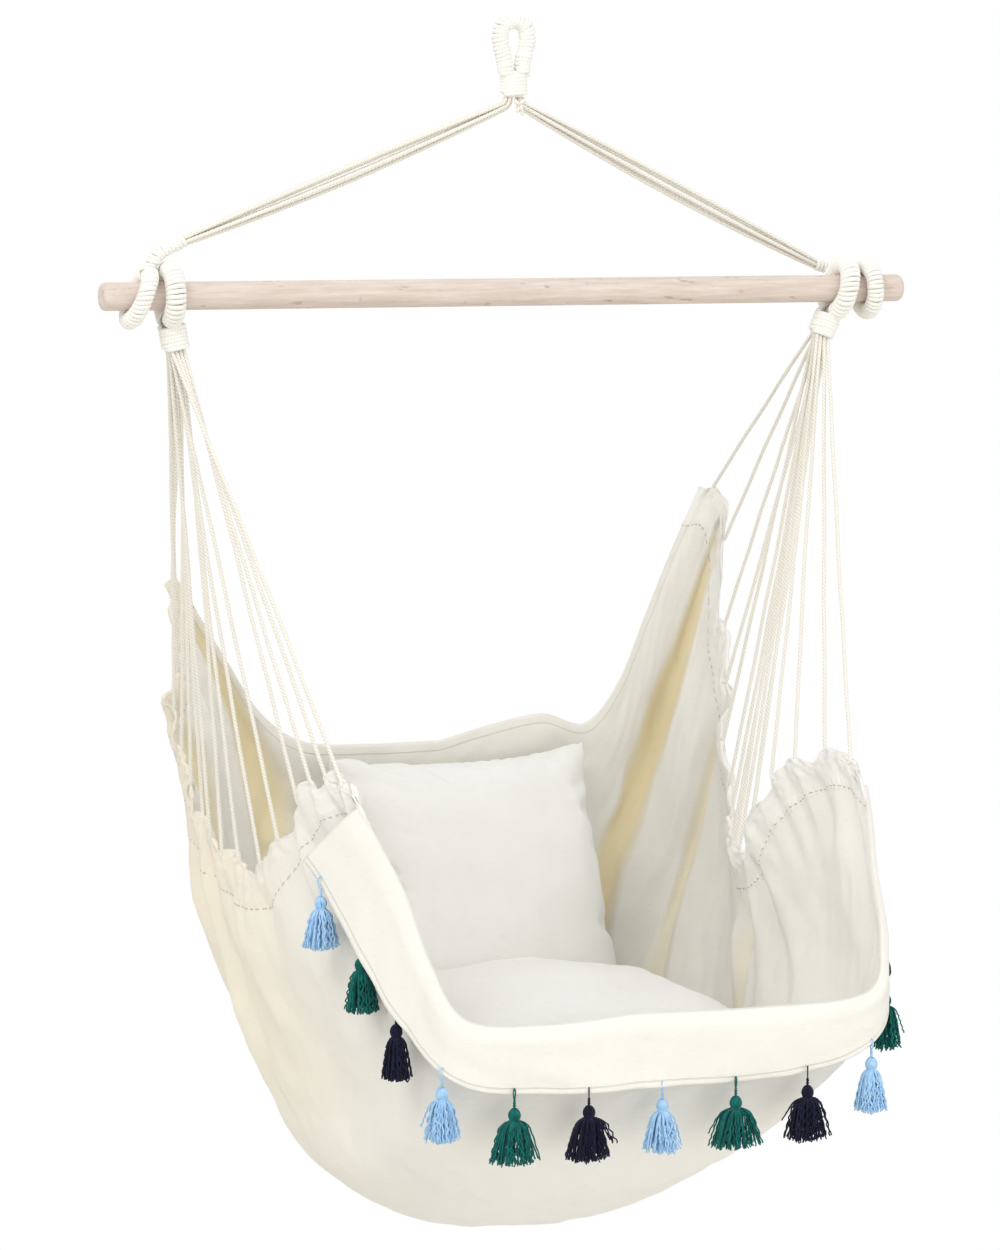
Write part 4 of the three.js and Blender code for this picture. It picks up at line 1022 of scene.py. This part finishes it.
def turned(points, tilt, yaw):
    c, s = math.cos(math.radians(tilt)), math.sin(math.radians(tilt))
    points = points @ np.array([[1, 0, 0], [0, c, -s], [0, s, c]]).T
    return turned_flat(points, math.radians(yaw))


def crown(a, b):
    """How full a cushion is at a place on its square, from -1 to 1 both ways."""
    return ((1 - a * a) * (1 - b * b)) ** 0.42


def pillow(name, form, n, seed):
    """A stuffed square that draws in between its corners, with a seam round it and wrinkles where its
    corners draw in, lying flat at the origin."""
    line = np.sin(TURN / 4 * np.linspace(-1, 1, n + 1))
    a, b = np.meshgrid(line, line, indexing="xy")
    px = a * form["width"] / 2 * (1 - 0.07 * (1 - b * b) * a * a)
    py = b * form["length"] / 2 * (1 - 0.07 * (1 - a * a) * b * b)
    full = crown(a, b)
    half = form["thickness"] / 2
    edge, corner = np.maximum(np.abs(a), np.abs(b)), np.abs(a * b)
    faces, points = [], []
    for face, sign in ((0, 1), (1, -1)):
        radial = np.arctan2(b, a)
        wrinkle = 0.0022 * np.cos(22 * radial + 2 * ripple(seed + face, px, py, 0.08, 0.2))
        wrinkle *= smooth(edge, 0.55, 0.9) * (1 - smooth(edge, 0.97, 1)) * (0.5 + corner)
        soft = 0.0030 * ripple(seed + 2 + face, px, py, 0.12, 0.3)
        soft += 0.0008 * ripple(seed + 4 + face, px, py, 0.03, 0.08)
        z = sign * (full * half + wrinkle + soft * smooth(full, 0, 0.3))
        points.append(np.stack([px, py, z], axis=-1).reshape(-1, 3))
        faces.append(patch(n + 1, n + 1, face * (n + 1) ** 2, flip=bool(face))[0])
    merged = np.concatenate(points)
    index = np.arange(len(merged))
    grid_index = np.arange((n + 1) ** 2).reshape(n + 1, n + 1)
    rim = np.zeros((n + 1, n + 1), bool)
    rim[[0, -1]] = rim[:, [0, -1]] = True
    index[(n + 1) ** 2 + grid_index[rim]] = grid_index[rim]
    faces = index[np.concatenate(faces)]
    used = np.unique(faces)
    renumber = np.zeros(len(merged), int)
    renumber[used] = np.arange(len(used))
    return make_mesh(name, merged[used], renumber[faces].tolist(), material=cover)


def mesh_places(mesh):
    places = np.empty(len(mesh.vertices) * 3, np.float32)
    mesh.vertices.foreach_get("co", places)
    return places.reshape(-1, 3).astype(float)


def set_places(mesh, places):
    mesh.vertices.foreach_set("co", np.asarray(places, np.float32).ravel())
    mesh.update()


def evaluated_in_place(obj):
    """Gives obj the mesh that its modifiers make, and drops them."""
    shaped = obj.evaluated_get(bpy.context.evaluated_depsgraph_get())
    mesh, old = bpy.data.meshes.new_from_object(shaped), obj.data
    obj.modifiers.clear()
    obj.data = mesh
    bpy.data.meshes.remove(old)


def inflate(obj, pressure, reach):
    """Swells obj as a cloth bag under pressure, with no point moved further than reach."""
    remesh = obj.modifiers.new("Remesh", "REMESH")
    remesh.mode, remesh.voxel_size = "VOXEL", VOXEL
    evaluated_in_place(obj)
    rest = mesh_places(obj.data)
    cloth = obj.modifiers.new("Cloth", "CLOTH")
    cloth.settings.quality = 5
    cloth.settings.mass = 0.3
    cloth.settings.use_pressure = True
    cloth.settings.uniform_pressure_force = pressure
    cloth.settings.effector_weights.gravity = 0
    cloth.point_cache.frame_start, cloth.point_cache.frame_end = 1, CLOTH_FRAMES
    for step in range(1, CLOTH_FRAMES + 1):
        bpy.context.scene.frame_set(step)
    evaluated_in_place(obj)
    bpy.context.scene.frame_set(1)
    move = mesh_places(obj.data) - rest
    size = np.linalg.norm(move, axis=1, keepdims=True)
    set_places(obj.data, rest + move * np.minimum(1, reach / np.maximum(size, 1e-9)))
    obj.modifiers.new("Subdivision", "SUBSURF").levels = 1
    evaluated_in_place(obj)


def cushion(name, form, start, seed, pressure, reach):
    """A cushion: the stuffed square swollen as cloth, with its seam and puckers, laid in its place."""
    small = dict(form, width=form["width"] * start, length=form["length"] * start)
    small["thickness"] *= 0.93
    obj = pillow(name, small, PILLOW_CELLS, seed)
    inflate(obj, pressure, reach)
    places = mesh_places(obj.data)
    x, y, z = places.T
    a, b = 2 * x / form["width"], 2 * y / form["length"]
    run = np.where(np.abs(a) > np.abs(b), y, x)
    rim = smooth(np.maximum(np.abs(a), np.abs(b)), 0.72, 0.9)
    groove = 0.0022 * np.exp(-((z / 0.0034) ** 2))
    beat = np.cos(TURN * run / 0.019 + 2.5 * ripple(seed + 7, x, y, 0.06, 0.2))
    tuck = 0.0011 * (1 + beat) * np.exp(-(((np.abs(z) - 0.009) / 0.010) ** 2))
    tuck *= np.clip(0.6 + 0.7 * ripple(seed + 8, x, y, 0.08, 0.2), 0, 1.6)
    places[:, :2] -= unit(places[:, :2]) * ((groove + tuck) * rim)[:, None]
    places = turned(places, form["tilt"], form["yaw"]) + (form["x"], form["y"], BAR_Z - form["drop"])
    set_places(obj.data, places)
    shade_smooth(obj.data)
    return obj


def keep_inside(obj, surface, clearance):
    """Moves the points of obj that reach past the sheet's inner face back to it."""
    tree = BVHTree.FromPolygons(surface.reshape(-1, 3).tolist(), patch(*surface.shape[:2])[0].tolist())
    for vertex in obj.data.vertices:
        place, normal, _, _ = tree.find_nearest(vertex.co)
        depth = (vertex.co - place).dot(normal)
        if depth > -clearance:
            vertex.co = vertex.co - normal * (depth + clearance)
    obj.data.update()


def keep_above(obj, form, clearance):
    """Lifts the points of obj that reach into a cushion's form onto its upper face."""
    half = form["thickness"] / 2
    c, s = math.cos(math.radians(form["yaw"])), math.sin(math.radians(form["yaw"]))
    for vertex in obj.data.vertices:
        x, y = vertex.co.x - form["x"], vertex.co.y - form["y"]
        a = (x * c + y * s) / (form["width"] / 2)
        b = (y * c - x * s) / (form["length"] / 2)
        if abs(a) < 1 and abs(b) < 1:
            floor = BAR_Z - form["drop"] + crown(a, b) * half + clearance
            if vertex.co.z < floor:
                vertex.co.z = floor
    obj.data.update()


seat_pillow = cushion("seat_pillow", SEAT_CUSHION, start=0.98, seed=71, pressure=4.0, reach=0.016)
back_pillow = cushion("back_pillow", BACK_CUSHION, start=1.02, seed=83, pressure=3.5, reach=0.012)
inner_surface = seat_grid[:CLOTH_GRID_ROWS]
keep_above(back_pillow, SEAT_CUSHION, 0.001)
keep_inside(seat_pillow, inner_surface, 0.0020)
keep_inside(back_pillow, inner_surface, 0.0020)
dress(seat_pillow, "seat_cushion", "cushion", "seat_cushion")
dress(back_pillow, "back_cushion", "cushion", "back_cushion")

# Tassels

TASSEL_LOOP, TASSEL_HEAD = 0.022, 0.014
HEAD_YARNS, SKIRT_YARNS, HEAD_YARN, BAND_YARN, SKIRT_YARN = 34, 104, 0.00085, 0.0009, 0.00105
TASSEL_WIDTHS = [0.036, 0.034, 0.031, 0.036, 0.053, 0.048, 0.038, 0.060, 0.051, 0.033, 0.041, 0.039, 0.037]
STRAYS = {2: 0, 3: 0, 6: 0.16, 8: 0.12, 9: 0.10, 10: 0, 12: 0.06}


def round_line(radius, angle, z, flat=1.0):
    return np.stack([radius * np.cos(angle), radius * np.sin(angle) * flat, z], axis=1)


def tassel(name, pivot, spin, yarn, width, strays, seed):
    """A tassel hung from pivot: a twisted thread loop, a round head and a skirt of thick wavy yarn."""
    rng = np.random.default_rng(seed)
    batch = Batch()
    t = np.linspace(0, TURN, 44)
    narrow = 0.0042 * np.sin(t) * np.abs(np.cos(t / 2))
    face = rng.uniform(0.35, 0.8)
    loop = np.stack([narrow * math.sin(face), narrow * math.cos(face), -0.0070 * (1 - np.cos(t))], axis=1)
    batch.rope(loop, HEAD_YARN, sides=6, lobes=2, pitch=0.004)
    down = np.linspace(0, 1, 30)
    for phase in (0, math.pi):
        strand = round_line(BAND_YARN, TURN * 1.6 * down + phase, -0.0132 - 0.0095 * down)
        batch.rope(strand, BAND_YARN, sides=6, lobes=2, pitch=0.004)
    top = -TASSEL_LOOP
    drop_share = np.linspace(0, 1, 18)
    for k in range(HEAD_YARNS):
        angle = TURN * k / HEAD_YARNS + rng.normal(0, 0.03) + 0.5 * drop_share
        radius = (TASSEL_HEAD / 2 - 0.0008) * np.sin(math.pi * (drop_share * 0.80 + 0.06)) ** 0.55
        batch.rope(round_line(radius, angle, top - TASSEL_HEAD * 0.92 * drop_share), HEAD_YARN, sides=5)
    turns = np.linspace(0, 4 * TURN, 80)
    batch.rope(round_line(0.0049, turns, top - 0.0108 - 0.0032 * turns / turns[-1]), BAND_YARN, sides=5)
    length, radius = rng.uniform(0.0455, 0.049), width / 2
    shoulder, flat = rng.uniform(0.34, 0.5), min(1.0, 0.0185 / (width / 2))
    s = np.linspace(0, 1, 15)
    for k in range(SKIRT_YARNS):
        angle, share = rng.uniform(0, TURN), math.sqrt(rng.uniform(0.02, 1))
        stray = share > 0.55 and rng.uniform() < strays
        out = radius * share * (rng.uniform(1.0, 1.35) if stray else 1)
        fall = length * (rng.uniform(0.45, 0.75) if stray else 1.03 - 0.11 * share + rng.normal(0, 0.025))
        reach = 0.0030 * share + out * (shoulder + (1 - shoulder) * s) * (1 - np.exp(-s / 0.07))
        sway = rng.uniform(0.0004, 0.0011) * np.sin(TURN * (s * rng.uniform(3, 5.5) + rng.uniform(0, 1)))
        sway = sway * smooth(s, 0, 0.3)
        swing = angle + rng.normal(0, 0.16) * s + sway / (radius * 0.6)
        line = round_line(reach + sway, swing, top - TASSEL_HEAD + 0.0018 - fall * s, flat)
        size = SKIRT_YARN * (1 - 0.15 * s)
        batch.rope(line, size, sides=6, lobes=2, pitch=0.0052, depth=0.22, phase=k)
    obj = batch.build(name, yarn)
    set_places(obj.data, turned_flat(np.concatenate(batch.points), spin) + pivot)
    return obj


def tassel_places():
    joints = {j["name"]: j for j in frame["joints"]}
    for k in range(1, TASSELS + 1):
        joint = joints[f"tassel_{k}_swing"]
        yield k, np.array(joint["pos_m"]), math.atan2(joint["axis"][1], joint["axis"][0])


for k, pivot, spin in tassel_places():
    colour = ("light_blue", "green", "navy")[(k - 1) % 3]
    width, strays = TASSEL_WIDTHS[k - 1], STRAYS.get(k, 0.02)
    piece = tassel(f"yarn_tassel_{k}", pivot, spin, yarns[colour], width, strays, 300 + k)
    dress(piece, f"tassel_{k}", colour, f"tassel_{k}")

# Floor, light and background

FLOOR_Z, FLOOR_REACH, FLOOR_COLOUR, WHITE = -1.9, 12, (0.82, 0.80, 0.75, 1), (1, 1, 1, 1)


def white_backdrop(name):
    """White to the camera and in reflections, pale and warm as a surface."""
    material = bpy.data.materials.new(name)
    material.use_nodes = True
    tree = material.node_tree
    tree.nodes.clear()
    ray = add_node(tree, "ShaderNodeLightPath").outputs
    seen = ray["Is Camera Ray"]
    for other in ("Is Glossy Ray", "Is Transmission Ray"):
        seen = add_node(tree, "ShaderNodeMath", {0: seen, 1: ray[other]}, operation="MAXIMUM").outputs[0]
    plain = add_node(tree, "ShaderNodeBsdfDiffuse", {"Color": FLOOR_COLOUR}).outputs[0]
    glow = add_node(tree, "ShaderNodeEmission", {"Color": WHITE, "Strength": 1.0}).outputs[0]
    mix = add_node(tree, "ShaderNodeMixShader", {0: seen, 1: plain, 2: glow}).outputs[0]
    add_node(tree, "ShaderNodeOutputMaterial", {"Surface": mix})
    return material


square = ((-1, -1), (1, -1), (1, 1), (-1, 1))
corners = np.array([(x * FLOOR_REACH, y * FLOOR_REACH, FLOOR_Z) for x, y in square])
floor = make_mesh("floor", corners, [[0, 1, 2, 3]], material=white_backdrop("floor"))

world = bpy.data.worlds.new("studio")
bpy.context.scene.world = world
world.use_nodes = True
world_tree = world.node_tree
background = world_tree.nodes["Background"]
background.inputs["Color"].default_value = WHITE
background.inputs["Strength"].default_value = 0.86
white = add_node(world_tree, "ShaderNodeBackground", {"Color": WHITE, "Strength": 1.0}).outputs[0]
from_camera = add_node(world_tree, "ShaderNodeLightPath").outputs["Is Camera Ray"]
sky = {0: from_camera, 1: background.outputs[0], 2: white}
blend = add_node(world_tree, "ShaderNodeMixShader", sky).outputs[0]
world_tree.links.new(blend, world_tree.nodes["World Output"].inputs["Surface"])


def lamp(name, place, aim, size, power):
    data = bpy.data.lights.new(name, "AREA")
    data.size = size
    data.energy = power
    obj = add_object(name, data)
    obj.location = place
    obj.rotation_euler = (Vector(aim) - Vector(place)).to_track_quat("-Z", "Y").to_euler()


lamp("key", (-2.4, -2.2, 2.3), (0.1, 0, -1.0), 2.2, 60)
lamp("fill", (2.8, -2.6, 0.2), (0, 0, -0.9), 2.4, 15)
lamp("low", (0.8, -3.4, -1.5), (0, 0, -1.2), 2.2, 18)
lamp("top", (0.3, 0.8, 2.2), (0, 0, -0.8), 2.0, 8)

bpy.context.scene.view_settings.view_transform = "Standard"
